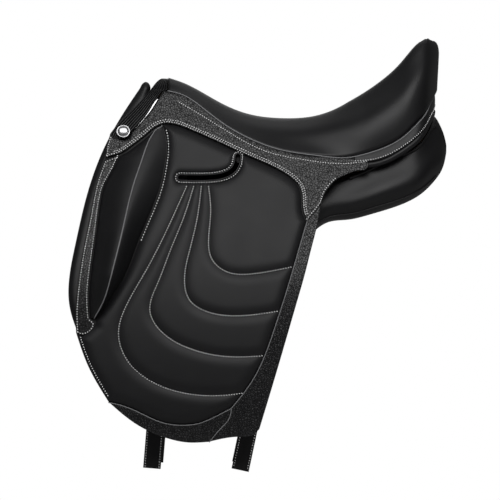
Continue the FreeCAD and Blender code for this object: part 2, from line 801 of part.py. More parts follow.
def make_stud():
    """Domed metal stud on the facing's leg, beside the skirt."""
    foot_y, foot_z, tangent = facing_leg()
    x, z = STUD_PLACE
    angle = math.atan(tangent)
    radius = size("stud_round") / 2
    base = size("lap_gap")
    dome = base + size("stud_dome")
    turned = ((radius, base), (radius, base + size("stud_rim")),
              (0.62 * radius, dome - 0.25 * size("stud_dome")), (0.25 * radius, dome))
    rings = [[Vector(across, along, height) for across, along in regular(STUD_SIDES, reach)]
             for reach, height in turned]
    stud = add_cushion("pommel_stud_right", cushion(rings))
    normal = Vector(0, math.cos(angle), math.sin(angle))
    seat = Vector(x, foot_y - (z - foot_z) * tangent, z)
    stud.Placement = Placement(seat, Rotation(Vector(0, 0, 1), normal))


# --- Skirt, flap and what is sewn to it --------------------------------------

def make_skirt():
    notch = size("stud_round") / 2 + 1.5 * size("stud_margin")
    cup = [SKIRT_NOSE[-1], *stud_cup(notch), SKIRT_FRONT[0]]
    top = offset_runs(-size("lay"), SEAT_EDGE)[0]
    side_layer("skirt_right", ON_FORM, ON_FORM + ("skirt_leather",), top, SKIRT_END,
               SKIRT_REAR, SKIRT_TIP, SKIRT_DROP, SKIRT_LIFT, SKIRT_NOSE, cup, SKIRT_FRONT)


def make_flap_head():
    """The top of the flap, under the skirt, fixed to the tree."""
    inset = size("swing_gap")
    edge = offset_runs(-2 * inset, SEAT_EDGE[:-1] + [at(0.3, 0.355)])[0][1:]
    rear, tip, low, lift = offset_runs(-inset, SKIRT_REAR[4:], SKIRT_TIP, SKIRT_DROP,
                                       SKIRT_LIFT[:-1] + [at(-0.835, 0.37)])
    front = offset_runs(-2 * inset, SKIRT_FRONT)[0][:-1]
    side_layer("flap_head_right", UNDER_FLAP, (), edge, rear, tip, low, lift,
               [at(-0.835, 0.4), at(-0.74, 0.43)], front)


def make_hanger():
    """Stiff leather behind the flap's top, from which the flap swings."""
    low, lift = TONGUE_LOW
    edge = offset_runs(-size("tongue"), SEAT_EDGE)[0][1:-1]
    side_layer("flap_hanger_right", HANGER_IN, HANGER_OUT, edge + [at(0.255, 0.27)],
               [at(0.255, 0.27), at(0.19, 0.12)], low, lift[:-1] + [at(-0.81, 0.33)],
               [at(-0.81, 0.33), at(-0.74, 0.44)])


def slot_edges(sketch, start):
    """The L-shaped slot: a level run, a bend upwards and a short rise."""
    half = size("slot_width") / 2
    bend = size("slot_bend")
    turn = math.radians(75)
    corner = (start[0] + size("slot_run"), start[1])
    centre = Vector(corner[0], corner[1] + bend, 0)
    along = Vector(math.cos(turn), math.sin(turn), 0)
    across = Vector(math.sin(turn), -math.cos(turn), 0)
    end = centre + across * bend + along * size("slot_rise")
    begin = Vector(start[0], start[1], 0)
    down = Vector(0, -1, 0)
    axis = Vector(0, 0, 1)
    quarter = math.pi / 2
    for side in (1, -1):
        radius = bend + side * half
        circle = Part.Circle(centre, axis, radius)
        sketch.addGeometry(Part.ArcOfCircle(circle, -quarter, turn - quarter), False)
        first = begin + down * side * half
        last = end + across * side * half
        sketch.addGeometry(Part.LineSegment(first, centre + down * radius), False)
        sketch.addGeometry(Part.LineSegment(centre + across * radius, last), False)
    near = Part.Circle(begin, axis, half)
    far = Part.Circle(end, axis, half)
    sketch.addGeometry(Part.ArcOfCircle(near, quarter, 3 * quarter), False)
    sketch.addGeometry(Part.ArcOfCircle(far, turn - quarter, turn + quarter), False)


def cut_slot(body):
    sketch = new_sketch(body, "XZ_Plane")
    slot_edges(sketch, SLOT_START)
    pocket(body, sketch)


def make_flap():
    body = side_layer("flap_right", UNDER_FLAP, (), FLAP_REAR, FLAP_HEEL, FLAP_LOW, FLAP_TOE,
                      FLAP_FRONT, list(reversed(FLAP_NOSE)), list(reversed(FLAP_TOP)),
                      list(reversed(FLAP_TIP)))
    cut_slot(body)


def make_flap_padding():
    inset = size("lay")
    toe = offset_runs(-2 * inset, FLAP_TOE[:-1] + [at(-0.98, -0.53)])[0]
    foot = list(reversed(offset_runs(5 * inset, STRIP_FOOT[:-1])[0]))
    rear, hem = offset_runs(-inset, BAND_INNER, HEM_INNER)
    body = side_layer("flap_padding_right", ON_FORM, ON_FORM + ("flap_padding",),
                      rear, hem, toe, foot, list(reversed(KNEE_REAR)),
                      list(reversed(FLAP_TOP)))
    cut_slot(body)


def make_strips():
    outer = ON_FORM + ("binding_leather",)
    side_layer("front_strip_right", ON_FORM, outer, FLAP_FRONT, STRIP_HEAD, STRIP_INNER,
               STRIP_FOOT)
    side_layer("rear_band_right", ON_FORM, outer, FLAP_REAR, FLAP_HEEL,
               list(reversed(BAND_SEAM)), list(reversed(BAND_INNER)),
               list(reversed(FLAP_TIP)))
    side_layer("bottom_band_right", ON_FORM, outer, FLAP_LOW, list(reversed(HEM_INNER)),
               BAND_SEAM)


def height_on(run, x):
    """Height of a side outline at a place along it."""
    return crossing([(z, along) for along, z in run], x)


def crossing(run, z):
    """Where a side outline crosses a height."""
    for first, last in zip(run, run[1:]):
        if (first[1] - z) * (last[1] - z) <= 0 and first[1] != last[1]:
            return first[0] + (last[0] - first[0]) * (z - first[1]) / (last[1] - first[1])
    return run[-1][0]


def knee_section(station):
    """Broad front face, rounded ridge and steep rear face at one height."""
    height, ridge_share, stand = station
    z = at(0, height)[1]
    play = 2 * size("lay")
    front = crossing(FLAP_NOSE[:-1] + STRIP_INNER[1:], z) + play
    rear = crossing(KNEE_REAR, z) - play
    ridge = ridge_share * size("reach")

    base = total(ON_FORM) + size("lay")

    def face(x, out):
        return (x, form_y(x, z, base) + out * stand)

    return [face(front, 0.0), face(front + (ridge - front) * 0.5, 0.66), face(ridge, 1.0),
            face(ridge + (rear - ridge) * 0.45, 0.8), face(rear, 0.0)]


def make_knee_block():
    """Large outside block on the flap, between the front strip and the padding."""
    rings = []
    for station in KNEE_STATIONS:
        z = at(0, station[0])[1]
        rings.append([Vector(x, y, z) for x, y in bowed(knee_section(station))])
    add_cushion("knee_block_right", cushion(rings))


# --- Girth straps ------------------------------------------------------------

def strap_line(foot, lean):
    """Middle of a strap in the side view at any height."""
    tangent = math.tan(math.radians(size(lean)))

    def place(z):
        return foot[0] + (z - foot[1]) * tangent
    return place


def strap_corners(foot, lean, top, low):
    """Square-cut strap between two heights of its middle line."""
    angle = math.radians(size(lean))
    place = strap_line(foot, lean)
    half = size("strap_width") / 2
    across = (math.cos(angle) * half, -math.sin(angle) * half)
    upper = (place(top), top)
    lower = (place(low), low)
    return [(upper[0] - across[0], upper[1] - across[1]),
            (upper[0] + across[0], upper[1] + across[1]),
            (lower[0] + across[0], lower[1] + across[1]),
            (lower[0] - across[0], lower[1] - across[1])]


def make_strap(name, foot, lean):
    """The strap's upper run, fixed behind the flap, and its free tail."""
    split = -size("strap_split")
    gap = 3 * size("lap_gap")
    head = strap_corners(foot, lean, 0.16 * size("rise"), split + gap)
    side_layer(f"{name}_strap_root_right", STRAP_IN, STRAP_OUT, *[
        [head[index], head[(index + 1) % 4]] for index in range(4)])
    middle = strap_line(foot, lean)(split)
    outer = form_y(middle, split, total(STRAP_OUT))
    body = new_body(f"{name}_strap_right")
    sketch = new_sketch(body, "XZ_Plane", Placement(Vector(0, 0, -outer), Rotation()))
    add_polygon(sketch, *strap_corners(foot, lean, split, foot[1]))
    pad(body, sketch, "Sizes.strap_thick")


# --- Stirrup bar -------------------------------------------------------------

def side_place(x, z, depth):
    """Placement on the side form: X along it, Y up it, Z in towards the horse."""
    radius = size("sweep") + depth
    centre_z = -size("sweep") * math.sin(SLOPE)
    tilt = min(SLOPE, math.asin((z - centre_z) / radius))
    along = Vector(math.cos(FLARE), math.sin(FLARE), 0)
    out = Vector(-math.sin(FLARE) * math.cos(tilt), math.cos(FLARE) * math.cos(tilt),
                 math.sin(tilt))
    up = along.cross(out)
    turn = Rotation(along, up, out * -1, "XYZ")
    return Placement(Vector(x, form_y(x, z, depth), z), turn)


def box_pad(body, left, right, low, high, start, thickness):
    """A block given in the bar's own axes, added to the body."""
    sketch = new_sketch(body, "XY_Plane", Placement(Vector(0, 0, start), Rotation()))
    add_polygon(sketch, (left, low), (right, low), (right, high), (left, high))
    return pad(body, sketch, thickness)


def make_stirrup_bar():
    """Forged bar, open to the rear, with its riveted plate and a hinged catch."""
    place = side_place(*BAR_PLACE, -size("bar_depth"))
    radius = size("bar_round") / 2
    length = size("bar_length")
    back = size("bar_back")
    plate = size("bar_plate")
    front = -length / 2
    lug = size("pin_round") * 4
    body = new_body("stirrup_bar_right")
    plate_low = radius + size("plate_lift")
    plate_high = plate_low + size("plate_height")
    plate_front = front - 1.5 * lug
    plate_rear = plate_front + size("plate_length")
    box_pad(body, plate_front, plate_rear, plate_low, plate_high, back, "Sizes.bar_plate")
    box_pad(body, plate_front, front, -radius, plate_low + lug, -radius,
            "Sizes.bar_back + Sizes.bar_plate + Sizes.bar_round / 2")
    start = front - size("rod_root")
    rod = new_sketch(body, "YZ_Plane", Placement(Vector(0, 0, start), Rotation()))
    add_circle(rod, (0, 0), radius)
    pad(body, rod, "Sizes.bar_length - 4 * Sizes.pin_round")
    rear = length / 2
    pin_x = rear - lug / 2
    ear = new_sketch(body, "XY_Plane", Placement(Vector(0, 0, -radius), Rotation()))
    add_polygon(ear, (rear - 1.2 * lug, -radius), (rear, -radius), (rear, radius),
                (rear - 1.2 * lug, radius))
    add_circle(ear, (pin_x, 0), size("pin_round") / 2 + size("pin_play"))
    pad(body, ear, "Sizes.bar_round / 2 + Sizes.lap_gap")
    body.Placement = place

    catch = new_body("bar_catch_right")
    start = 3 * size("lap_gap")
    sketch = new_sketch(catch, "XY_Plane", Placement(Vector(0, 0, start), Rotation()))
    eye = lug / 2
    reach = size("catch_length")
    tip = 0.45 * eye
    circle = Part.Circle(Vector(pin_x, 0, 0), Vector(0, 0, 1), eye)
    sketch.addGeometry(Part.ArcOfCircle(circle, math.pi / 2, 3 * math.pi / 2), False)
    add_run(sketch, [(pin_x, -eye), (pin_x + reach, -tip)])
    add_run(sketch, [(pin_x + reach, -tip), (pin_x + reach, 2.2 * tip)])
    add_run(sketch, [(pin_x + reach, 2.2 * tip), (pin_x + 0.7 * reach, tip)])
    add_run(sketch, [(pin_x + 0.7 * reach, tip), (pin_x, eye)])
    add_circle(sketch, (pin_x, 0), size("pin_round") / 2 + size("pin_play"))
    pad(catch, sketch, "Sizes.pin_round")
    catch.Placement = place

    pin = doc.addObject("Part::Cylinder", "catch_pin_right")
    pin.Label = "catch_pin_right"
    pin.setExpression("Radius", "Sizes.pin_round / 2")
    pin.setExpression("Height", "Sizes.bar_round / 2 + Sizes.pin_round + 3 * Sizes.lap_gap")
    pin.Placement = place.multiply(Placement(Vector(pin_x, 0, -radius), Rotation()))
    NODES["catch_pin_right"] = pin

    rivets = []
    head = size("rivet_round") / 2
    for share in (0.12, 0.3):
        spot = Vector(plate_front + share * size("plate_length"),
                      plate_high - 1.4 * head, back)
        corners = [spot + Vector(x, y, 0) for x, y in regular(RIVET_SIDES, head)]
        rivets.append(Part.Face(Part.makePolygon(corners + corners[:1])).extrude(
            Vector(0, 0, -0.4 * head)))
    group = doc.addObject("Part::Feature", "bar_rivets_right")
    group.Label = "bar_rivets_right"
    group.Shape = Part.makeCompound(rivets)
    group.Placement = place
    NODES["bar_rivets_right"] = group


# --- Build and write ---------------------------------------------------------

def build():
    make_seat_cover()
    make_seat_foam()
    make_cantle_band()
    make_tree_frame()
    make_spring_rail()
    make_webbing()
    make_gullet_lining()
    make_head_plate()
    make_tree_point()
    make_panel()
    make_panel_front()
    make_facing()
    make_stud()
    make_skirt()
    make_flap_head()
    make_hanger()
    make_flap()
    make_flap_padding()
    make_strips()
    make_knee_block()
    make_strap("front", FRONT_FOOT, "front_lean")
    make_strap("rear", REAR_FOOT, "rear_lean")
    make_stirrup_bar()
    for label in [name for name in NODES if name.endswith("_right")]:
        mirror_left(label)
    doc.recompute()


def check():
    """Stop if any object failed or any sub-part is empty or not a valid solid."""
    for thing in doc.Objects:
        if "Invalid" in thing.State or "Error" in thing.State:
            raise RuntimeError(f"{thing.Label} failed: {thing.State}")
    for label, node in NODES.items():
        if node.Shape.isNull() or not node.Shape.isValid() or node.Shape.Volume <= 0:
            raise RuntimeError(f"{label} is not a valid solid")


def write():
    os.makedirs("parts", exist_ok=True)
    for label, node in NODES.items():
        node.Shape.exportStep(f"parts/{label}.step")
        print(f"{label}: {len(node.Shape.Solids)} solid(s), {node.Shape.Volume / 1000:.1f} cm3")


build()
check()
write()
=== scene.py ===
"""Monoflap dressage saddle: looks, built as an add-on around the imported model."""

import json
import math

import bmesh
import bpy
import numpy as np
from bpy.props import FloatProperty, FloatVectorProperty, PointerProperty
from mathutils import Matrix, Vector
from mathutils.geometry import delaunay_2d_cdt


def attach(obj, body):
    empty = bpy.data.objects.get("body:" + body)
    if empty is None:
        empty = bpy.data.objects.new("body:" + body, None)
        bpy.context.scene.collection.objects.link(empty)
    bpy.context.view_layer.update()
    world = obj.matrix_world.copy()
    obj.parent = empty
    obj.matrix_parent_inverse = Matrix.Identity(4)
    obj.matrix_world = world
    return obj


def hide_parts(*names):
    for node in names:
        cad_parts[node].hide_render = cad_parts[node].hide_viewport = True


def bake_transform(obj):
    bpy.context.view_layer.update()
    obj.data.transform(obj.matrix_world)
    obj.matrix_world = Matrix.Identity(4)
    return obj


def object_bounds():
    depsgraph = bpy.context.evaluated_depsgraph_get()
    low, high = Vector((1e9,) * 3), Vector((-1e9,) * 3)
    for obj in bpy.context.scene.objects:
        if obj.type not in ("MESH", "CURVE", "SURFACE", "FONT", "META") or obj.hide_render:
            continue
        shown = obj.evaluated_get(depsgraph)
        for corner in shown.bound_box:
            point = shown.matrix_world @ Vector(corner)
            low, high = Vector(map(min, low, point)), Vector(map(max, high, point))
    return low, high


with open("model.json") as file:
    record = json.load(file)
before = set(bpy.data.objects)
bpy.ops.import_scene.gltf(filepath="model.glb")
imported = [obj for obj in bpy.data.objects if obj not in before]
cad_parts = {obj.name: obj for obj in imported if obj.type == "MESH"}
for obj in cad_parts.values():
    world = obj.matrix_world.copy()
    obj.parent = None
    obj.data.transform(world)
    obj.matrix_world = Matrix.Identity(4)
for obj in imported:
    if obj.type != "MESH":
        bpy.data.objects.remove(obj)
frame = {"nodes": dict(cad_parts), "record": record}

bl_info = {
    "name": "Dressage Saddle",
    "version": (1, 0, 0),
    "blender": (4, 5, 0),
    "location": "3D View > Sidebar > Saddle",
    "description": "Builds the leathers, pads, seams and stage of a monoflap dressage saddle",
    "category": "Object",
}

CAD_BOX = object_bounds()
ROOT = "tree_and_seat"
MM = 0.001


# --- Sizes and colours ----------------------------------------------------------

def metres(name, about, default):
    return FloatProperty(name=name, description=about, default=default, unit="LENGTH",
                         precision=5)


def degrees(name, about, default):
    return FloatProperty(name=name, description=about, default=math.radians(default),
                         subtype="ANGLE")


def watts(name, about, default):
    return FloatProperty(name=name, description=about, default=default, unit="POWER")


def tint(name, about, *default):
    return FloatVectorProperty(name=name, description=about, default=default,
                               subtype="COLOR", min=0, max=1)


class FormSizes(bpy.types.PropertyGroup):
    """Side form on which flaps, skirts and straps lie, and the spread of the outlines."""

    reach: metres("Reach", "Spread of the outlines along the horse", 0.280)
    rise: metres("Rise", "Spread of the outlines above the origin", 0.250)
    drop: metres("Drop", "Spread of the outlines below the origin", 0.300)
    waist: metres("Waist", "Half width where slope and sweep meet", 0.140)
    sweep: metres("Sweep", "Radius of the sweep below the waist", 0.710)
    slope: degrees("Slope", "Lean of the side above the waist", 25)
    flare: degrees("Flare", "Turn of the side outwards to the rear", 5)


class LeatherSizes(bpy.types.PropertyGroup):
    """Thicknesses of leathers and pads, and the fineness of their meshes."""

    lap: metres("Lap", "Clearance between two leathers", 0.3 * MM)
    skirt: metres("Skirt", "Thickness of the skirt", 3.4 * MM)
    flap: metres("Flap", "Thickness of the flap", 4.0 * MM)
    binding: metres("Binding", "Thickness of strips and bands", 2.2 * MM)
    padding: metres("Padding", "Depth of the quilted pad", 7.0 * MM)
    seat: metres("Seat", "Thickness of the seat cover", 2.6 * MM)
    strap: metres("Strap", "Thickness of the girth straps", 4.0 * MM)
    cell: metres("Cell", "Mesh size of plain leathers", 3.2 * MM)
    quilt_cell: metres("Quilt cell", "Mesh size of the quilted pad", 2.6 * MM)


class ThreadSizes(bpy.types.PropertyGroup):
    """Stitch length, pitch and thread."""

    pitch: metres("Pitch", "Distance from stitch to stitch", 3.5 * MM)
    wide_pitch: metres("Wide pitch", "Pitch beside the knee block", 4.1 * MM)
    thread: metres("Thread", "Thickness of the thread", 1.7 * MM)
    cover: FloatProperty(name="Cover", description="Share of the pitch that shows as thread",
                         default=0.50, min=0.1, max=1.0, subtype="FACTOR")


class LeatherColours(bpy.types.PropertyGroup):
    """Base colours of the finishes."""

    calf: tint("Calf", "Smooth leather", 0.0062, 0.0062, 0.0068)
    grain: tint("Grain", "Grained leather", 0.0072, 0.0072, 0.0078)
    thread: tint("Thread", "Stitching", 0.88, 0.88, 0.88)
    # The cords are real; their light grey is partly a painted highlight, the thin bright line
    # along the seams.
    welt: tint("Welt", "Fine cords along the seams", 0.16, 0.16, 0.165)
    steel: tint("Steel", "Polished fittings", 0.72, 0.72, 0.73)
    timber: tint("Timber", "Laminated tree", 0.48, 0.30, 0.15)


class StageSizes(bpy.types.PropertyGroup):
    """Camera, lamps and floor."""

    distance: metres("Distance", "From the camera to the middle plane", 10.0)
    field: metres("Field", "Width seen at the near side", 0.685)
    centre_x: metres("Centre X", "Middle of the view along the saddle", -0.0411)
    centre_z: metres("Centre Z", "Middle of the view's height", -0.0384)
    sensor: FloatProperty(name="Sensor", description="Width of the film in millimetres",
                          default=36.0)
    floor_drop: metres("Floor drop", "Floor below the strap ends", 0.22)
    floor_size: metres("Floor size", "Side of the square floor", 6.0)
    key_power: watts("Key power", "Main lamp", 54.0)
    fill_power: watts("Fill power", "Side lamp", 3.0)
    rim_power: watts("Rim power", "Rear lamp", 4.0)
    far_power: watts("Far power", "Far side's lamp", 3.0)
    air: FloatProperty(name="Air", description="Even light from all around", default=0.12)


GROUPS = {
    "saddle_form": FormSizes,
    "saddle_leather": LeatherSizes,
    "saddle_thread": ThreadSizes,
    "saddle_colour": LeatherColours,
    "saddle_stage": StageSizes,
}


def form():
    return bpy.context.scene.saddle_form


def leather():
    return bpy.context.scene.saddle_leather


# --- Finishes -------------------------------------------------------------------

class Field:
    """A shader value whose Python operators add Math nodes."""

    def __init__(self, finish, socket):
        self.finish = finish
        self.socket = socket

    def maths(self, operation, *terms):
        return self.finish.node("ShaderNodeMath", {"operation": operation},
                                dict(enumerate(terms)))

    def __add__(self, other):
        return self.maths("ADD", self, other)

    __radd__ = __add__

    def __sub__(self, other):
        return self.maths("SUBTRACT", self, other)

    def __rsub__(self, other):
        return self.maths("SUBTRACT", other, self)

    def __mul__(self, other):
        return self.maths("MULTIPLY", self, other)

    __rmul__ = __mul__


class Nodes:
    """A node tree with the one method that adds to it."""

    def __init__(self, tree):
        self.tree = tree

    def node(self, kind, settings=None, sockets=None, output=0):
        made = self.tree.nodes.new(kind)
        for key, setting in (settings or {}).items():
            if key == "stops":
                self.set_stops(made.color_ramp, setting)
            else:
                setattr(made, key, setting)
        for key, amount in (sockets or {}).items():
            if isinstance(amount, Field):
                self.tree.links.new(amount.socket, made.inputs[key])
            else:
                made.inputs[key].default_value = amount
        return Field(self, made.outputs[output])

    @staticmethod
    def set_stops(ramp, stops):
        while len(ramp.elements) < len(stops):
            ramp.elements.new(0.5)
        for element, (place, grey) in zip(ramp.elements, stops):
            element.position = place
            element.color = (grey, grey, grey, 1)

    def show(self, output, field):
        self.tree.links.new(field.socket, self.tree.nodes[output].inputs["Surface"])


class Finish(Nodes):
    """One material: a Principled surface and the nodes that feed it."""

    def __init__(self, name, colour, roughness, **constants):
        self.material = bpy.data.materials.new(name)
        self.material.use_nodes = True
        super().__init__(self.material.node_tree)
        self.surface = self.tree.nodes["Principled BSDF"]
        self.surface.inputs["Base Color"].default_value = (*colour, 1)
        self.surface.inputs["Roughness"].default_value = roughness
        for socket, amount in constants.items():
            self.surface.inputs[socket.replace("_", " ")].default_value = amount
        self.place = self.node("ShaderNodeTexCoord", output="Object")

    def feed(self, socket, field):
        self.tree.links.new(field.socket, self.surface.inputs[socket])

    def noise(self, size, detail=2.0, stretch=None):
        place = self.place
        if stretch:
            place = self.node("ShaderNodeMapping", None, {"Vector": place, "Scale": stretch})
        return self.node("ShaderNodeTexNoise", None,
                         {"Vector": place, "Scale": 1 / size, "Detail": detail})

    def waves(self, axis, size, distortion=0.0):
        return self.node("ShaderNodeTexWave", {"bands_direction": axis}, {
            "Vector": self.place, "Scale": 1 / size, "Distortion": distortion}, output=1)

    def cells(self, size, feature="F1"):
        return self.node("ShaderNodeTexVoronoi", {"feature": feature},
                         {"Vector": self.place, "Scale": 1 / size})

    def ramp(self, field, *stops):
        return self.node("ShaderNodeValToRGB", {"stops": stops}, {"Fac": field})

    def bump(self, height, depth, strength=1.0):
        self.feed("Normal", self.node("ShaderNodeBump", None, {
            "Height": height, "Distance": depth, "Strength": strength}))

    def shade(self, mask, dark, light):
        """Base colour that runs between two colours with a mask."""
        self.feed("Base Color", self.node("ShaderNodeMix", {"data_type": "RGBA"}, {
            0: mask, 6: (*dark, 1), 7: (*light, 1)}, output=2))


def scaled(colour, share):
    return tuple(channel * share for channel in colour)


def calf_finish(name, colour, roughness=0.42, crease=14 * MM, gloss=0.22):
    """Smooth calf: fine pores, faint creases and a soft uneven gloss."""
    finish = Finish(name, colour, roughness, Specular_IOR_Level=gloss)
    pores = finish.noise(0.9 * MM, 3.0)
    creases = finish.noise(crease, 3.0)
    cloud = finish.noise(45 * MM, 2.0)
    finish.shade(cloud, scaled(colour, 0.86), scaled(colour, 1.14))
    finish.feed("Roughness", cloud * 0.10 + pores * 0.08 + (roughness - 0.09))
    finish.bump(pores * 0.35 + creases * 0.65, 0.22 * MM, 0.6)
    return finish.material


def grain_finish(name, colour):
    """Grained hide: rounded pebbles with duller valleys between them; the colour has painted
    shade in the valleys and painted light on the pebble tops.
    """
    roughness = 0.34
    finish = Finish(name, colour, roughness, Specular_IOR_Level=0.20, Coat_Roughness=0.24)
    valleys = finish.cells(3.2 * MM, "DISTANCE_TO_EDGE")
    pebble = finish.ramp(valleys, (0.0, 0.0), (0.14, 0.7), (0.4, 1.0))
    fine = finish.noise(0.5 * MM, 2.0)
    cloud = finish.noise(30 * MM, 2.0)
    # Base colour from the pebble mask: painted shade in the valleys, painted light on the
    # pebble tops.
    finish.shade(pebble, scaled(colour, 0.2), scaled(colour, 1.5))
    finish.feed("Roughness", 1.35 * roughness - pebble * 0.12 + cloud * 0.10)
    finish.feed("Coat Weight", pebble * 0.4)
    finish.bump(pebble * 0.9 + fine * 0.1, 1.3 * MM, 1.0)
    return finish.material


def thread_finish(colour):
    """Twisted polyester thread."""
    finish = Finish("thread", colour, 0.5, Sheen_Weight=0.2)
    strand = finish.noise(0.5 * MM, 1.0)
    finish.shade(strand, scaled(colour, 0.75), colour)
    finish.bump(strand, 0.1 * MM, 0.4)
    return finish.material


def steel_finish(name, colour, roughness, streak):
    """Steel with fine lines from the polishing wheel."""
    finish = Finish(name, colour, roughness, Metallic=1.0)
    lines = finish.noise(streak, 2.0, (1, 1, 12))
    smudge = finish.noise(9 * MM, 2.0)
    finish.feed("Roughness", lines * 0.08 + smudge * 0.10 + roughness)
    finish.bump(lines, 0.02 * MM, 0.3)
    return finish.material


def timber_finish(colour):
    """Laminated beech under clear lacquer."""
    finish = Finish("timber", colour, 0.5)
    figure = finish.noise(5 * MM, 4.0, (0.08, 1, 1))
    plies = finish.waves("Z", 14 * MM, 0.6)
    finish.shade(figure * 0.7 + plies * 0.3, scaled(colour, 0.6), scaled(colour, 1.15))
    finish.bump(figure, 0.1 * MM, 0.4)
    return finish.material


def webbing_finish():
    """Woven strainer webbing."""
    finish = Finish("webbing", (0.55, 0.52, 0.44), 0.85)
    weave = finish.waves("X", 9 * MM) * finish.waves("Y", 9 * MM)
    finish.shade(weave, (0.36, 0.33, 0.27), (0.62, 0.59, 0.50))
    finish.bump(weave, 0.3 * MM, 0.8)
    return finish.material


def foam_finish():
    """Open-cell seat foam."""
    finish = Finish("foam", (0.70, 0.66, 0.55), 0.9)
    holes = finish.cells(1.6 * MM)
    # Colour darker in the cells' hollows: painted shade in the pores.
    finish.shade(holes, (0.5, 0.46, 0.36), (0.74, 0.70, 0.58))
    finish.bump(holes, 0.5 * MM, 0.7)
    return finish.material


FINISHES = {}


def make_finishes():
    colour = bpy.context.scene.saddle_colour
    calf, grain = tuple(colour.calf), tuple(colour.grain)
    FINISHES.update({
        "smooth_leather": calf_finish("smooth_leather", calf),
        "padding_leather": calf_finish("padding_leather", scaled(calf, 1.05), 0.50,
                                       crease=11 * MM, gloss=0.20),
        "panel_leather": calf_finish("panel_leather", scaled(calf, 0.95), 0.44),
        "facing_leather": calf_finish("facing_leather", scaled(calf, 0.9), 0.38),
        "grained_leather": grain_finish("grained_leather", grain),
        # The straps' colour is the grain's darkened to 0.45: painted shade for the low,
        # upright straps. The flaps share this finish.
        "strap_leather": calf_finish("strap_leather", scaled(grain, 0.45), 0.56),
        "thread": thread_finish(tuple(colour.thread)),
        # Welt cords in light grey: partly a painted highlight along the seams.
        "welt": calf_finish("welt", tuple(colour.welt), 0.4),
        "bar_steel": steel_finish("bar_steel", tuple(colour.steel), 0.22, 3 * MM),
        "stud_steel": steel_finish("stud_steel", scaled(tuple(colour.steel), 0.55), 0.2,
                                   4 * MM),
        "spring_steel": steel_finish("spring_steel", (0.33, 0.34, 0.36), 0.38, 2 * MM),
        "timber": timber_finish(tuple(colour.timber)),
        "webbing": webbing_finish(),
        "foam": foam_finish(),
    })


# --- Outlines on the side, front to rear or top to bottom -----------------------

def at(x_share, z_share):
    sizes = form()
    return (x_share * sizes.reach, z_share * (sizes.rise if z_share > 0 else sizes.drop))


def run(*thousandths):
    """Points of an outline from thousandths of the spreads."""
    return np.array([at(x / 1000, z / 1000) for x, z in thousandths])


def form_y(x, z, depth=0.0):
    """Distance from the middle plane to the side form; takes arrays."""
    sizes = form()
    radius = sizes.sweep + depth
    centre_z = -sizes.sweep * math.sin(sizes.slope)
    centre_v = sizes.waist - sizes.sweep * math.cos(sizes.slope)
    straight = sizes.waist + depth / math.cos(sizes.slope) - z * math.tan(sizes.slope)
    inside = np.maximum(radius ** 2 - (z - centre_z) ** 2, 0.0)
    half = np.where(z > centre_z + radius * math.sin(sizes.slope), straight,
                    centre_v + np.sqrt(inside))
    return half / math.cos(sizes.flare) + x * math.tan(sizes.flare)


def columns(*parts):
    """Points from their coordinates, where a number stands for a whole column."""
    return np.stack(np.broadcast_arrays(*parts), axis=1)


def travel(points):
    """Distance along a path at each of its points."""
    return np.concatenate([[0], np.cumsum(np.linalg.norm(np.diff(points, axis=0), axis=1))])


def spline(points, count):
    """Natural cubic through points, its knots as far apart as they are."""
    points = np.asarray(points, float)
    knots = travel(points)
    return flow(knots, points, np.linspace(0, knots[-1], count))


def flow(knots, values, places):
    """Natural cubic through values at their knots, read at places."""
    last = len(knots) - 1
    gaps = np.diff(knots)
    matrix = np.eye(last + 1)
    right = np.zeros_like(values)
    for index in range(1, last):
        before, after = gaps[index - 1], gaps[index]
        matrix[index, index - 1:index + 2] = before, 2 * (before + after), after
        right[index] = 6 * ((values[index + 1] - values[index]) / after
                            - (values[index] - values[index - 1]) / before)
    bend = np.linalg.solve(matrix, right)
    first = np.clip(np.searchsorted(knots, places, side="right") - 1, 0, last - 1)
    gap = gaps[first][:, None]
    far = (places - knots[first])[:, None] / gap
    near = 1 - far
    return (near * values[first] + far * values[first + 1]
            + ((near ** 3 - near) * bend[first] + (far ** 3 - far) * bend[first + 1])
            * gap ** 2 / 6)


def length_of(points):
    return float(np.linalg.norm(np.diff(points, axis=0), axis=1).sum())


def resample(points, step):
    """Even points along a path, near the step, with both ends kept."""
    points = np.asarray(points, float)
    along = travel(points)
    places = np.linspace(0, along[-1], max(int(round(along[-1] / step)), 1) + 1)
    return columns(*(np.interp(places, along, column) for column in points.T))


def smooth(points, step=2 * MM):
    """A smooth curve through a run's points, as even short steps."""
    return resample(spline(points, 12 * len(points)), step)


def loop(*runs, step=2 * MM):
    """A closed outline from runs joined end to end."""
    pieces = []
    for index, points in enumerate(runs):
        curve = smooth(points, step)
        following = runs[(index + 1) % len(runs)][0]
        gap = np.linalg.norm(curve[-1] - following)
        pieces.append(curve[:-1] if gap < 1e-5 else curve)
        if gap > 1.5 * step:
            pieces.append(resample([curve[-1], following], step)[1:-1])
    return np.concatenate(pieces)


def lefts(points):
    """Unit steps to the left of a flat path."""
    steps = np.gradient(points, axis=0)
    steps /= np.linalg.norm(steps, axis=1)[:, None]
    return columns(-steps[:, 1], steps[:, 0])


def shifted(points, distance):
    """An open path moved to its left by a distance."""
    points = np.asarray(points, float)
    return points + lefts(points) * distance


def path_distance(points, path, closed=False):
    """Distance of each point from a path."""
    path = np.asarray(path, float)
    ends = np.roll(path, -1, axis=0) if closed else path[1:]
    starts = path if closed else path[:-1]
    along = ends - starts
    square = np.maximum((along ** 2).sum(1), 1e-18)
    nearest = np.empty(len(points))
    for low in range(0, len(points), 1500):
        block = points[low:low + 1500, None, :] - starts[None]
        share = np.clip((block * along).sum(2) / square, 0, 1)
        gap = block - share[..., None] * along
        nearest[low:low + 1500] = np.sqrt((gap ** 2).sum(2).min(1))
    return nearest


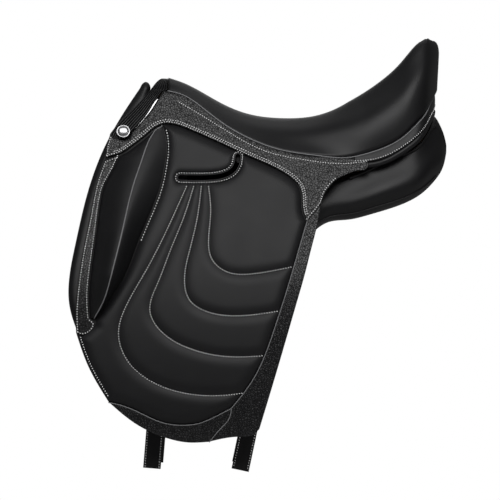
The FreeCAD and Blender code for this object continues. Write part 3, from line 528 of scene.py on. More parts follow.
def inside(points, outline):
    """Which points lie inside a closed outline."""
    ends = np.roll(outline, -1, axis=0)
    odd = np.zeros(len(points), bool)
    for (x0, z0), (x1, z1) in zip(outline, ends):
        if z0 != z1:
            spans = (z0 > points[:, 1]) != (z1 > points[:, 1])
            cross = x0 + (points[:, 1] - z0) * (x1 - x0) / (z1 - z0)
            odd ^= spans & (points[:, 0] < cross)
    return odd


# Outlines in thousandths of reach, and of rise above the origin or drop below it.
OUTLINES = {
    "seat_edge": (
        (-572, 727), (-488, 709), (-377, 632), (-264, 535), (-152, 463), (0, 398), (186, 364),
        (343, 354)),
    "skirt_end": ((343, 354), (420, 333), (437, 326)),
    "skirt_rear": (
        (437, 326), (428, 294), (374, 279), (324, 259), (281, 235), (250, 203), (218, 151),
        (203, 104)),
    "skirt_tip": ((203, 104), (175, 60), (134, 4)),
    "skirt_drop": (
        (134, 4), (112, 60), (108, 130), (98, 186), (49, 248), (-34, 303), (-163, 367),
        (-294, 436), (-391, 485), (-465, 520), (-515, 539), (-560, 545)),
    "skirt_lift": (
        (-560, 545), (-596, 535), (-660, 482), (-726, 424), (-778, 384), (-856, 358)),
    "skirt_nose": ((-856, 358), (-852, 420), (-838, 475)),
    "skirt_cup": ((-838, 475), (-803, 461), (-771, 450), (-737, 463), (-727, 495)),
    "skirt_line": (
        (-500, 664), (-348, 563), (-180, 447), (-39, 378), (130, 340), (250, 322), (340, 322),
        (430, 334)),
    "skirt_front": ((-727, 495), (-647, 597), (-577, 720)),
    "flap_rear": (
        (198, 90), (187, 10), (176, -37), (150, -130), (125, -222), (83, -360), (-7, -648),
        (-101, -939)),
    "flap_heel": ((-101, -939), (-125, -961), (-210, -975), (-347, -998)),
    "flap_low": ((-347, -998), (-450, -1001), (-563, -978), (-706, -915), (-835, -818)),
    "flap_toe": ((-835, -818), (-938, -650), (-994, -506)),
    "flap_front": (
        (-994, -506), (-998, -420), (-990, -310), (-968, -155), (-930, 38), (-896, 230),
        (-862, 340)),
    "strip_head": ((-855, 341), (-795, 366)),
    "strip_inner": (
        (-790, 368), (-827, 279), (-858, 216), (-891, 52), (-917, -155), (-936, -360),
        (-930, -440)),
    "strip_foot": ((-930, -440), (-905, -462), (-955, -515), (-994, -506)),
    "band_inner": (
        (134, 20), (97, -100), (31, -308), (-26, -473), (-132, -711), (-182, -779),
        (-240, -845)),
    "band_seam": ((-240, -845), (-251, -892), (-282, -927), (-347, -998)),
    "hem_inner": (
        (-240, -845), (-319, -883), (-394, -912), (-475, -921), (-569, -910), (-693, -860),
        (-770, -832), (-835, -818)),
    "knee_rear": (
        (-577, 540), (-560, 468), (-556, 394), (-566, 298), (-583, 203), (-631, 52),
        (-686, -80), (-759, -254), (-811, -333), (-896, -447)),
    "knee_ridge": (
        (-594, 535), (-607, 515), (-641, 455), (-675, 351), (-709, 236), (-737, 120),
        (-758, 11), (-785, -105), (-806, -183), (-832, -279), (-864, -368), (-907, -440)),
    "panel_crown": ((-640, 745), (-645, 766), (-662, 779), (-680, 768), (-691, 745)),
    "panel_front": (
        (-691, 745), (-754, 638), (-861, 424), (-951, 141), (-1002, -95), (-1034, -279),
        (-1033, -360), (-1010, -452), (-985, -512)),
    "panel_low": ((-985, -512), (-930, -500), (-820, -360), (-700, -240), (-430, -150)),
    "panel_back": (
        (-430, -150), (-430, 130), (-520, 160), (-660, 180), (-700, 400), (-660, 660),
        (-640, 745)),
    "slot": ((-489, 244), (-365, 243), (-279, 255), (-237, 278), (-216, 308), (-206, 360)),
    "facing_front": (
        (-553, 810), (-600, 789), (-635, 745), (-724, 630), (-810, 531), (-838, 490)),
    "facing_rear": (
        (-553, 810), (-553, 733), (-581, 728), (-650, 605), (-733, 498), (-800, 450)),
}
QUILTS = (
    ((-456, 200), (-486, 124), (-555, -40), (-662, -234), (-748, -378), (-787, -501),
     (-756, -612), (-631, -723), (-444, -781), (-256, -786), (-180, -777)),
    ((-422, 200), (-470, 29), (-534, -125), (-597, -279), (-634, -409), (-575, -502),
     (-444, -574), (-256, -612), (-83, -608)),
    ((-385, 200), (-404, 29), (-444, -139), (-466, -273), (-441, -356), (-363, -406),
     (-231, -427), (-9, -406)),
    ((-351, 200), (-339, 65), (-349, -75), (-333, -169), (-258, -228), (-131, -236),
     (58, -205)),
)
STUD = (-0.771, 0.499)


class Lines:
    """The saddle's outlines, worked out once the sizes are registered."""

    def __init__(self):
        for name, points in OUTLINES.items():
            setattr(self, name, run(*points))
        self.quilts = [run(*points) for points in QUILTS]
        self.stud = at(*STUD)


# --- Meshes ---------------------------------------------------------------------

def new_object(name, vertices, faces):
    mesh = bpy.data.meshes.new(name)
    mesh.from_pydata([tuple(v) for v in vertices], [], [tuple(f) for f in faces])
    mesh.validate()
    thing = bpy.data.objects.new(name, mesh)
    bpy.context.collection.objects.link(thing)
    return thing


def outward(thing, angle=40):
    """Merge doubles, point all faces out and smooth all but sharp edges."""
    work = bmesh.new()
    work.from_mesh(thing.data)
    bmesh.ops.remove_doubles(work, verts=work.verts, dist=0.00001)
    bmesh.ops.recalc_face_normals(work, faces=work.faces)
    work.to_mesh(thing.data)
    work.free()
    select_only(thing)
    bpy.ops.object.shade_smooth_by_angle(angle=math.radians(angle))
    return thing


def select_only(*things):
    bpy.ops.object.select_all(action="DESELECT")
    for thing in things:
        thing.select_set(True)
    bpy.context.view_layer.objects.active = things[0]


def fill_outline(outline, holes, extra, guides=()):
    """Triangles of an outline: points, faces, and where the outlines' own points went."""
    points, edges = [], []
    loops = (outline, *holes)
    for path, open_ends in [*((path, 0) for path in loops), *((path, 1) for path in guides)]:
        base, size = len(points), len(path)
        points += [Vector(p) for p in path]
        edges += [(base + i, base + (i + 1) % size) for i in range(size - open_ends)]
    points += [Vector(p) for p in extra]
    found, _, faces, origin, _, _ = delaunay_2d_cdt(points, edges, [], 1, 1e-7, True)
    spots = np.array([tuple(p) for p in found])
    faces = np.array(faces)
    faces = faces[inside(spots[faces].mean(axis=1), outline)]
    for hole in holes:
        faces = faces[~inside(spots[faces].mean(axis=1), hole)]
    rim = sum(len(path) for path in loops)
    place = {source: index for index, sources in enumerate(origin)
             for source in sources if source < rim}
    return spots, faces, place


def fill_points(outline, holes, guides, cell, rim, spreads):
    """Points inside an outline: rings along its rim, rows beside guides, even cells."""
    loops = [outline, *holes]
    rings = []
    for path in loops:
        closed = np.vstack([path[-1:], path, path[:1]])
        rings += [shifted(closed, side * share * rim)[1:-1]
                  for share in (0.12, 0.4, 1.0) for side in (-1, 1)]
    rings += [shifted(guide, side * spread)
              for guide in guides for spread in spreads for side in (-1, 1)]
    (x_low, z_low), (x_high, z_high) = outline.min(0), outline.max(0)
    grid = [columns(np.arange(x_low + index % 2 * 0.5 * cell, x_high, cell), z)
            for index, z in enumerate(np.arange(z_low, z_high, cell * 0.866))]

    def kept(rows, gap):
        points = np.concatenate(rows)
        keep = inside(points, outline)
        for path in loops:
            keep &= path_distance(points, path, True) > gap
        for hole in holes:
            keep &= ~inside(points, hole)
        return points[keep]

    near, grid = kept(rings, 0.1 * rim), kept(grid, rim + 0.4 * cell)
    for guide in guides:
        grid = grid[path_distance(grid, guide) > max(spreads) + 0.4 * cell]
    return np.concatenate([near, grid])


def round_over(distance, radius):
    share = np.clip(distance / radius, 0, 1)
    return radius * np.sqrt(np.maximum(1 - (1 - share) ** 2, 0))


def side_sheet(name, outline, depth, thick, rim=1.2 * MM, cell=None, holes=(), guides=(),
               spreads=(), relief=None, under=0.0):
    """A closed leather or pad on the near side's form, with a rounded rim.

    `relief` gives the height above `depth` from the points and their rim distance;
    `under` rounds the back in as well.
    """
    cell = cell or leather().cell
    paths = (outline, *holes)
    extra = fill_points(outline, holes, guides, cell, rim, spreads)
    front, faces, front_place = fill_outline(outline, holes, extra, guides)
    coarse = fill_points(outline, holes, (), max(5 * cell, 12 * MM), max(under, rim), ())
    back, back_faces, back_place = fill_outline(outline, holes, coarse)

    def rim_distance(points):
        return np.min([path_distance(points, path, True) for path in paths], axis=0)

    gap = rim_distance(front)
    height = relief(front, gap) if relief else thick - rim + round_over(gap, rim)
    base = depth + under - round_over(rim_distance(back), under) if under else depth
    shift = len(front)
    shell = [tuple(f) for f in faces] + [tuple(f[::-1] + shift) for f in back_faces]
    start = 0
    for path in paths:
        for index in range(len(path)):
            one, two = start + index, start + (index + 1) % len(path)
            shell.append((front_place[one], front_place[two],
                          back_place[two] + shift, back_place[one] + shift))
        start += len(path)
    vertices = np.concatenate([on_side(front, depth + height), on_side(back, base)])
    return outward(new_object(name, vertices, shell))


def grid_shell(name, rows, closed=True, angle=50):
    """A lofted form from rows of points; closed rows close on themselves and are capped."""
    rows = np.asarray(rows, float)
    count, width, _ = rows.shape
    spans = [(one, (one + 1) % width) for one in range(width if closed else width - 1)]
    faces = [(row * width + one, row * width + two,
              (row + 1) * width + two, (row + 1) * width + one)
             for row in range(count - 1) for one, two in spans]
    vertices = list(rows.reshape(-1, 3))
    for row in (0, count - 1) if closed else ():
        faces += [(row * width + one, row * width + two, len(vertices)) for one, two in spans]
        vertices.append(rows[row].mean(0))
    return outward(new_object(name, vertices, faces), angle)


def thicken(thing, thickness, offset=-1.0):
    """Give an open sheet its thickness, inwards by default."""
    select_only(thing)
    wall = thing.modifiers.new("Wall", "SOLIDIFY")
    wall.thickness = thickness
    wall.offset = offset
    wall.use_even_offset = True
    bpy.ops.object.modifier_apply(modifier=wall.name)
    return thing


def path_curve(name, points, cyclic=False):
    curve = bpy.data.curves.new(name, "CURVE")
    curve.dimensions = "3D"
    track = curve.splines.new("POLY")
    track.points.add(len(points) - 1)
    for place, point in zip(track.points, points):
        place.co = (*point, 1)
    track.use_cyclic_u = cyclic
    thing = bpy.data.objects.new(name, curve)
    bpy.context.collection.objects.link(thing)
    return thing


def piping(name, points, radius, cyclic=False):
    """A round cord of leather along a path."""
    thing = path_curve(name, points, cyclic)
    thing.data.bevel_depth = radius
    thing.data.bevel_resolution = 3
    thing.data.use_fill_caps = True
    select_only(thing)
    bpy.ops.object.convert(target="MESH")
    return outward(thing, 60)


def stitch_row(points, pitch=None):
    """Short thread stitches, end to end along a path."""
    sizes = bpy.context.scene.saddle_thread
    pitch = pitch or sizes.pitch
    length = length_of(points)
    count = max(int(length / pitch), 1)
    bpy.ops.object.select_all(action="DESELECT")
    bpy.ops.mesh.primitive_uv_sphere_add(segments=6, ring_count=5, radius=sizes.thread / 2)
    thing = bpy.context.object
    origin = {"center_override": (0, 0, 0)}
    bpy.ops.object.mode_set(mode="EDIT")
    bpy.ops.transform.rotate(value=math.pi / 2, orient_axis="Y", **origin)
    bpy.ops.transform.resize(value=(sizes.cover * pitch / sizes.thread, 1, 1), **origin)
    bpy.ops.transform.translate(value=(pitch / 2, 0, 0))
    bpy.ops.object.mode_set(mode="OBJECT")
    track = path_curve("track", points)
    repeat = thing.modifiers.new("Repeat", "ARRAY")
    repeat.count = count
    repeat.use_relative_offset = False
    repeat.use_constant_offset = True
    repeat.constant_offset_displace = (length / count, 0, 0)
    follow = thing.modifiers.new("Follow", "CURVE")
    follow.object = track
    select_only(thing)
    for modifier in (repeat.name, follow.name):
        bpy.ops.object.modifier_apply(modifier=modifier)
    bpy.data.objects.remove(track)
    bpy.ops.object.shade_smooth()
    return thing


def joined(name, things):
    select_only(*things)
    if len(things) > 1:
        bpy.ops.object.join()
    things[0].name = name
    things[0].data.name = name
    return things[0]


def on_side(points, depth):
    """Side outline points placed on the near side's form at a depth."""
    x, z = np.asarray(points, float).T
    return columns(x, -form_y(x, z, depth), z)


def far_side(thing, name):
    """The far side's twin of a near-side piece."""
    twin = thing.copy()
    twin.data = thing.data.copy()
    twin.name = twin.data.name = name
    bpy.context.collection.objects.link(twin)
    co = np.empty(len(twin.data.vertices) * 3)
    twin.data.vertices.foreach_get("co", co)
    co[1::3] *= -1
    twin.data.vertices.foreach_set("co", co)
    twin.data.flip_normals()
    twin.data.update()
    return twin


# Where a moving piece starts to leave the tree and where it follows its own body.
BENDS = {"flap_": ((-0.005, 0.1, 0.106), (-0.040, 0.1, -0.012)),
         "_tail": ((0, 0.15, -0.060), (0, 0.15, -0.100))}


def dress(thing, finish, body=ROOT, nodes=(), slot=None, fill=None):
    """Finish and body of one piece. A flap's or a tail's piece is baked in place and not
    attached to a body.
    """
    thing.data.materials.clear()
    thing.data.materials.append(FINISHES[finish])
    bend = [ends for stem, ends in BENDS.items() if stem in body]
    if bend:
        side = 1 if "_right" in body else -1
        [(x, side * y, z) for x, y, z in bend[0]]
        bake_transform(thing)
    else:
        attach(thing, body)
    if nodes:
        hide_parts(*nodes)
    slot or (finish if finish in SLOTS else "strap_leather")
    return thing


SLOTS = {entry["slot"] for entry in frame["record"]["materials"]}


def dress_pair(thing, finish, body=ROOT, nodes=(), **more):
    """Dress a near-side piece and its far-side twin; SIDE in a name is filled in."""
    stem = thing.name
    twin = far_side(thing, stem + "_right")
    thing.name = thing.data.name = stem + "_left"
    for piece, side in ((thing, "left"), (twin, "right")):
        dress(piece, finish, body.replace("SIDE", side),
              [node.replace("SIDE", side) for node in nodes], **more)


FLAP = "flap_SIDE_group"


def sew(name, rows, slot, body=FLAP):
    """Join stitch rows into one piece on each side."""
    dress_pair(joined(name, rows), "thread", body, slot=slot)


# --- Pieces ---------------------------------------------------------------------

# Place, lower edge, deck, top, dish and taper of the seat, in shares.
SEAT_STATIONS = (
    (-0.550, 0.725, 0.700, 0.790, 0.00, 1.00),
    (-0.480, 0.705, 0.665, 0.764, 0.00, 1.00),
    (-0.377, 0.632, 0.622, 0.706, 0.00, 1.00),
    (-0.264, 0.535, 0.540, 0.637, 0.00, 1.00),
    (-0.152, 0.463, 0.468, 0.591, 0.00, 1.00),
    (0.000, 0.398, 0.410, 0.569, 0.00, 1.00),
    (0.186, 0.364, 0.395, 0.587, 0.01, 1.00),
    (0.343, 0.354, 0.420, 0.657, 0.03, 1.00),
    (0.468, 0.392, 0.500, 0.744, 0.06, 1.00),
    (0.593, 0.461, 0.620, 0.864, 0.10, 1.00),
    (0.660, 0.532, 0.700, 0.952, 0.12, 0.99),
    (0.700, 0.580, 0.760, 0.990, 0.10, 0.95),
    (0.742, 0.640, 0.830, 1.003, 0.02, 0.82),
    (0.776, 0.700, 0.860, 0.985, 0.00, 0.52),
    (0.790, 0.735, 0.870, 0.930, 0.00, 0.24),
)

TOP_SCALE, TOP_LIFT = 1.013, 0.002  # raise the middle, which stands behind the near side
SEAT_LEAN = 3 * MM  # how far the cantle's foot leans forward
FOAM_END = 8  # rows left off where the cantle's nose is too thin for foam


def stations_between(stations, count, height):
    """Stations read at many places; knots follow the place and the height column."""
    table = np.array(stations)
    spreads = (form().reach, form().rise)
    knots = travel(table[:, (0, height)] * spreads)
    return flow(knots, table, np.linspace(0, knots[-1], count)).T


def eased(share):
    """0 to 1 with a soft start and end."""
    share = min(max(share, 0.0), 1.0)
    return share * share * (3 - 2 * share)


def seat_rows(inset, floor=None, tuck=0.0, width=49, count=96):
    """Cross rows of the seat's surface, each from one lower edge over to the other."""
    sizes = form()
    rows = []
    for share, edge, deck, top, dish, taper in stations_between(SEAT_STATIONS, count, 3).T:
        x, edge_z = share * sizes.reach, edge * sizes.rise
        dish, top_z = max(dish, 0), (top * TOP_SCALE + TOP_LIFT) * sizes.rise
        height = top_z - edge_z
        half = float(form_y(x, edge_z)) * taper - inset
        rear = eased((share - 0.05) / 0.45)
        round_in = min(height, 0.8 * half)
        rim = 0.94 + 0.06 * min(dish / 0.03, 1.0)
        sides = [(0.25, 0.19 * height, -0.01 * round_in), (0.54, 0.22 * half, 0.12 * round_in),
                 (0.80, 0.40 * half, 0.40 * round_in), (rim, 0.58 * half, 0.56 * half)]
        right = [(half + tuck, edge_z)]
        right += [(half - level * (1 - rear) - raised * rear,
                   edge_z + up * height - inset * up) for up, level, raised in sides]
        middle = [(0.0, top_z - inset - dish * sizes.rise)]
        line = spline(right + middle + [(-y, z) for y, z in reversed(right)], 6 * width)
        if floor is not None:
            line = line[line[:, 1] > max(edge_z, deck * sizes.rise) + floor]
        section = resample(line, length_of(line) / (width - 1))
        lean = SEAT_LEAN * eased((share - 0.70) / 0.08) / max(height, 1 * MM)
        rows.append([(x - lean * (top_z - z), y, z) for y, z in section])
    return np.array(rows)


def make_seat():
    over = seat_rows(0.0, tuck=3.0 * MM)
    cover = grid_shell("cover", over, closed=False)
    close = new_object("tail", over[-1], [tuple(range(over.shape[1]))])
    cover = outward(joined("seat_cover_leather", [cover, close]), 60)
    thicken(cover, leather().seat)
    dress(cover, "smooth_leather", nodes=["seat_cover"], fill=0.9)
    foam_rows = seat_rows(leather().seat + 3.6 * MM, floor=2.7 * MM, width=33, count=60)
    foam = grid_shell("seat_foam_block", foam_rows[:-FOAM_END])
    dress(foam, "foam", nodes=["seat_foam"], fill=1.0)


# Place, upper edge, lower edge and taper of the band below the cantle, in shares.
BAND_STATIONS = (
    (0.365, 0.3560, 0.3300, 1.00),
    (0.430, 0.3760, 0.3290, 1.00),
    (0.468, 0.3890, 0.3340, 1.00),
    (0.593, 0.4580, 0.3970, 1.00),
    (0.660, 0.5290, 0.4540, 0.99),
    (0.695, 0.5770, 0.4990, 0.95),
    (0.722, 0.6370, 0.5530, 0.82),
    (0.745, 0.6900, 0.6000, 0.52),
    (0.753, 0.7150, 0.6250, 0.24),
)


def stood_off(path, stand):
    """A path round the seat moved outwards in plan."""
    return path - np.pad(lefts(path[:, :2]), ((0, 0), (0, 1))) * stand


def round_seat(stations, stand, count):
    """A line round the seat from (place, height, taper) of the near side's stations."""
    near = []
    for x_share, z_share, taper in stations:
        x, z = at(x_share, z_share)
        near.append((x, -float(form_y(x, z)) * taper, z))
    both = near + [(x, -y, z) for x, y, z in reversed(near)]
    return stood_off(spline(both, count), stand)


def band_lines(stand):
    """Upper and lower line of the cantle band, from the near end round to the far end."""
    return [round_seat([(row[0], row[column], row[3]) for row in BAND_STATIONS], stand, 220)
            for column in (1, 2)]


def make_cantle_band():
    sizes = leather()
    rows = []
    for share in np.linspace(0, 1, 9):
        upper, lower = band_lines(sizes.lap + 0.8 * MM * math.sin(share * math.pi))
        rows.append(upper * (1 - share) + lower * share)
    band = grid_shell("cantle_band_leather", np.stack(rows, axis=1), closed=False)
    thicken(band, sizes.skirt, 1.0)
    dress(band, "smooth_leather", nodes=["cantle_band"])
    radius, sink = 4.4 * MM, 4.2 * MM
    roll = band_lines(0.5 * MM)[1] - (0.0, 0.0, sink)
    dress(piping("cantle_roll", roll, radius), "panel_leather", slot="smooth_leather")


def seat_border(stand):
    """The seat's lower edge, from the near pommel round the cantle to the far pommel."""
    stations = [(row[0], row[1], 1.0) for row in SEAT_STATIONS if row[0] < 0.36]
    stations += [(row[0], row[1], row[3]) for row in BAND_STATIONS if row[0] > 0.4]
    return round_seat(stations, stand, 600)


def make_seat_welt():
    sizes = leather()
    path = seat_border(sizes.lap + sizes.skirt + 0.2 * MM) + (0.0, 0.0, 0.2 * MM)
    dress(piping("seat_welt", path, 0.8 * MM), "welt", slot="smooth_leather")


def make_skirts(lines):
    sizes = leather()
    outline = loop(shifted(lines.seat_edge, -0.6 * MM), lines.skirt_end, lines.skirt_rear,
                   lines.skirt_tip, lines.skirt_drop, lines.skirt_lift, lines.skirt_nose,
                   lines.skirt_cup, lines.skirt_front)
    skirt = side_sheet("skirt_leather", outline, sizes.lap, sizes.skirt)
    dress_pair(skirt, "grained_leather", FLAP, ["skirt_SIDE"])


# Distances from the middle line of the stirrup-leather slot.
SLOT_HALF = 3.0 * MM
SLOT_LIP = 4.1 * MM
SLOT_PRESS = 5.4 * MM
SLOT_STITCH = 6.4 * MM


def slot_outline(lines, half=SLOT_HALF):
    """Round-ended outline at a distance from the slot's middle line."""
    middle = smooth(lines.slot, 1.5 * MM)
    upper, lower = shifted(middle, half), shifted(middle, -half)
    turns = []
    for centre, start in ((middle[-1], upper[-1]), (middle[0], lower[0])):
        first = math.atan2(*(start - centre)[::-1])
        angles = first - np.linspace(0, math.pi, 9)[1:-1]
        turns.append(columns(centre[0] + half * np.cos(angles),
                             centre[1] + half * np.sin(angles)))
    return np.concatenate([upper, turns[0], lower[::-1], turns[1]])


def make_flaps(lines):
    sizes = leather()
    head = shifted(lines.seat_edge, -6 * MM)
    outline = loop(head, run((300, 300), (240, 190), (210, 130), (198, 90)),
                   lines.flap_rear, lines.flap_heel, lines.flap_low, lines.flap_toe,
                   lines.flap_front, run((-862, 340), (-835, 400), (-740, 430)))
    flap = side_sheet("flap_leather", outline, -sizes.flap, sizes.flap, cell=4.5 * MM,
                      holes=[slot_outline(lines)])
    dress_pair(flap, "strap_leather", FLAP, ["flap_SIDE", "flap_head_SIDE"])


def padding_outline(lines):
    toe = shifted(np.vstack([lines.flap_toe[:-1], at(-0.98, -0.53)]), -1.2 * MM)
    foot = run((-968, -523), (-900, -470))
    top = shifted(lines.skirt_drop, 1.5 * MM)[::-1]
    return loop(shifted(lines.band_inner, -0.4 * MM), shifted(lines.hem_inner, -0.4 * MM),
                toe, foot, lines.knee_rear[::-1], top)


def pillow(distance, width, floor):
    """Swell of a pad beside a sewn line, from floor at the line to 1 away from it."""
    return floor + (1 - floor) * (1 - (1 - np.clip(distance / width, 0, 1)) ** 2.5)


def padding_height(lines):
    """The quilted pad's height: low at its edge, its seams and round the slot."""
    quilts = [smooth(quilt) for quilt in lines.quilts]
    slot = smooth(lines.slot)
    low, deep = 0.8 * MM, leather().padding
    edge_swell, quilt_swell, slot_swell = 18 * MM, 17 * MM, 5 * MM

    def height(points, gap):
        swell = low + (deep - low) * (1 - (1 - np.clip(gap / edge_swell, 0, 1)) ** 3)
        sewn = np.min([path_distance(points, quilt) for quilt in quilts], axis=0)
        swell *= pillow(sewn, quilt_swell, 0.55)
        ring = np.abs(path_distance(points, slot) - SLOT_PRESS)
        return swell * pillow(ring, slot_swell, 0.72)

    return height


def make_padding(lines):
    sizes = leather()
    pad = side_sheet("flap_padding_quilted", padding_outline(lines), sizes.lap,
                     sizes.padding, rim=2.5 * MM, cell=sizes.quilt_cell,
                     holes=[slot_outline(lines)], guides=[smooth(q) for q in lines.quilts],
                     spreads=(0.8 * MM, 2.0 * MM, 3.6 * MM), relief=padding_height(lines))
    dress_pair(pad, "padding_leather", FLAP, ["flap_padding_SIDE"], fill=0.8)


def make_bindings(lines):
    sizes = leather()
    strips = {
        "front_strip": loop(lines.flap_front, run((-862, 340), (-790, 368)),
                            lines.strip_inner, lines.strip_foot),
        "rear_band": loop(lines.flap_rear, lines.flap_heel, lines.band_seam[::-1],
                          lines.band_inner[::-1],
                          run((134, 20), (165, 65), (196, 100))),
        "bottom_band": loop(lines.flap_low, lines.hem_inner[::-1], lines.band_seam),
    }
    for name, outline in strips.items():
        strip = side_sheet(name + "_leather", outline, sizes.lap, sizes.binding)
        dress_pair(strip, "grained_leather", FLAP, [name + "_SIDE"])


def edge_x(path, z):
    """Where a path crosses a height, or heights."""
    order = np.argsort(path[:, 1])
    return np.interp(z, path[order, 1], path[order, 0])


def knee_rows(lines, stand=31 * MM, width=41, count=110):
    """Rows of the knee block from its point down, each from front over to rear."""
    lap = leather().lap
    lift = smooth(shifted(lines.skirt_lift, 3 * MM)[::-1])
    lift = lift[lift[:, 1] > lines.strip_inner[0, 1] + 1 * MM]
    front_path = np.vstack([smooth(lines.strip_inner[::-1]), lift])
    rear_path, ridge_path = smooth(lines.knee_rear), smooth(lines.knee_ridge)
    top, foot = at(0, 0.537)[1], at(0, -0.441)[1]
    foot_swell, top_swell = 60 * MM, 150 * MM
    across = np.linspace(0, 1, width // 2 + 1)
    aft = np.linspace(0, 1, width - width // 2)[1:]
    rise = np.concatenate([0.84 * (1 - (1 - across) ** 2.2) + 0.16 * across, 1 - aft ** 1.5])
    rows = []
    for turn in np.linspace(0, math.pi, count):
        z = top + (foot - top) * (0.5 - 0.5 * math.cos(turn))
        front, rear = edge_x(front_path, z) + 1 * MM, edge_x(rear_path, z) - 1 * MM
        ridge = np.clip(edge_x(ridge_path, z), front + 0.5 * MM, rear - 0.5 * MM)
        tall = stand * (np.clip((z - foot) / foot_swell, 0, 1) ** 0.55
                        * np.clip((top - z) / top_swell, 0, 1) ** 0.75)
        x = np.concatenate([front + (ridge - front) * across, ridge + (rear - ridge) * aft])
        rows.append(np.concatenate([on_side(columns(x, z), lap + tall * rise),
                                    on_side(columns(x[-2:0:-1], z), lap)]))
    return np.array(rows), width // 2


def make_knee_blocks(lines):
    rows, ridge_column = knee_rows(lines)
    block = grid_shell("knee_block_cover", rows, angle=75)
    dress_pair(block, "smooth_leather", FLAP, ["knee_block_SIDE"], fill=0.95)
    ridge = resample(rows[3:-3, ridge_column], 2.5 * MM)
    cord = piping("knee_piping", ridge, 0.8 * MM)
    dress_pair(cord, "welt", FLAP, slot="smooth_leather")


# Place; the gusset's upper and lower seam, each with its millimetres inwards from the
# form; inner foot and top; the gullet's width, the belly's sag and the lower lip's.
PANEL_STATIONS = (
    (-0.455, 0.400, 35.0, -0.040, 38.0, 0.400, 0.530, 0.75, 16.0, 4.0),
    (-0.250, 0.380, 35.0, -0.120, 29.0, 0.300, 0.440, 0.90, 18.0, 4.0),
    (-0.050, 0.325, 20.0, -0.140, 16.0, 0.180, 0.320, 1.00, 20.0, 4.0),
    (0.120, 0.280, 16.0, -0.060, 20.0, 0.160, 0.300, 1.00, 18.0, 4.0),
    (0.250, 0.215, 12.0, 0.030, 30.0, 0.160, 0.300, 1.00, 10.0, 5.0),
    (0.343, 0.240, 12.0, 0.044, 30.0, 0.170, 0.330, 1.00, 8.0, 6.0),
    (0.450, 0.292, 11.0, 0.075, 26.0, 0.190, 0.360, 1.00, 8.0, 7.0),
    (0.593, 0.366, 12.0, 0.125, 30.0, 0.220, 0.440, 1.00, 6.0, 7.0),
    (0.700, 0.438, 18.0, 0.188, 40.0, 0.260, 0.530, 1.00, 4.0, 7.0),
    (0.765, 0.530, 36.0, 0.252, 56.0, 0.310, 0.585, 1.00, 2.0, 5.0),
    (0.794, 0.505, 46.0, 0.290, 63.0, 0.335, 0.530, 1.02, 1.0, 3.0),
    (0.812, 0.466, 56.0, 0.335, 69.0, 0.365, 0.470, 1.04, 0.5, 1.5),
    (0.822, 0.420, 62.0, 0.385, 73.0, 0.395, 0.418, 1.05, 0.2, 0.5),
)


def panel_rows(count=90):
    """Rows round the flocked panel, with its gusset's two seams as columns."""
    rows = []
    for station in stations_between(PANEL_STATIONS, count, 3).T:
        share, up, up_in, low, low_in, inner_low, inner_top, gullet, belly, lip = station
        x, up_z = at(share, up)
        low_z = at(share, low)[1]
        wall = 36 * MM * gullet
        top_in, low_inner = (np.array([wall, at(share, z)[1]]) for z in (inner_top, inner_low))
        top_out = np.array([float(form_y(x, up_z)) - up_in * MM, up_z])
        low_out = np.array([float(form_y(x, low_z)) - low_in * MM, low_z])
        across = top_out - low_out
        out = np.array([across[1], -across[0]])
        bulge = out * (0.09 + 0.08 * eased((share - 0.15) / 0.2))
        gusset = spline([top_out, top_out * 0.62 + low_out * 0.38 + bulge * 0.6,
                         top_out * 0.2 + low_out * 0.8 + bulge, low_out], 22)
        dip = low_out * 0.55 + low_inner * 0.45 + np.array([-0.5, -0.9]) * belly * MM
        under = low_out + np.array([-1.3, -1.0]) * lip * MM
        base = spline([low_out, under, dip, low_inner], 18)
        side = spline([low_inner, (low_inner + top_in) * 0.5 + (2 * MM, 0), top_in], 8)
        lid = (top_in + top_out) * 0.5 + (1.2 * MM, 2.4 * MM)
        roof = spline([top_in, lid, top_out], 12)
        ring = np.concatenate([part[:-1] for part in (gusset, base, side, roof)])
        rows.append(columns(x, -ring[:, 0], ring[:, 1]))
    return np.array(rows), 0, len(gusset) - 1


def make_panels():
    rows, upper, lower = panel_rows()
    body = grid_shell("panel_cushion", rows, angle=62)
    dress_pair(body, "panel_leather", nodes=["panel_SIDE"], fill=0.85)
    tail = 8  # rows left bare at the rear, where the two seams meet
    for name, column, radius, first in (("panel_upper_piping", upper, 2.0 * MM, 52),
                                        ("panel_lower_piping", lower, 1.0 * MM, 4)):
        path = rows[first:-tail, column] - (0.0, radius * 0.6, 0.0)
        dress_pair(piping(name, resample(path, 3 * MM), radius), "panel_leather")


def make_panel_fronts(lines):
    sizes = leather()
    deep = 18 * MM
    depth = -(sizes.flap + 3 * sizes.lap + BEHIND_FLAP + sizes.strap + deep)
    outline = loop(lines.panel_crown, lines.panel_front, lines.panel_low,
                   lines.panel_back)
    roundness = 8 * MM
    front = side_sheet("panel_front_cushion", outline, depth, deep, rim=roundness,
                       cell=4 * MM, under=roundness)
    dress_pair(front, "panel_leather", nodes=["panel_front_SIDE"], fill=0.8)


FACING_SINK = 1.2 * MM
FACING_TOP = 199.5 * MM


def facing_leg():
    """The facing's straight leg on the far side: its foot's y and z, and its lean."""
    foot, head = at(-0.804, 0.488), at(-0.589, 0.712)
    foot_y, head_y = (float(form_y(*point)) - FACING_SINK for point in (foot, head))
    return foot_y, foot[1], (foot_y - head_y) / (head[1] - foot[1])


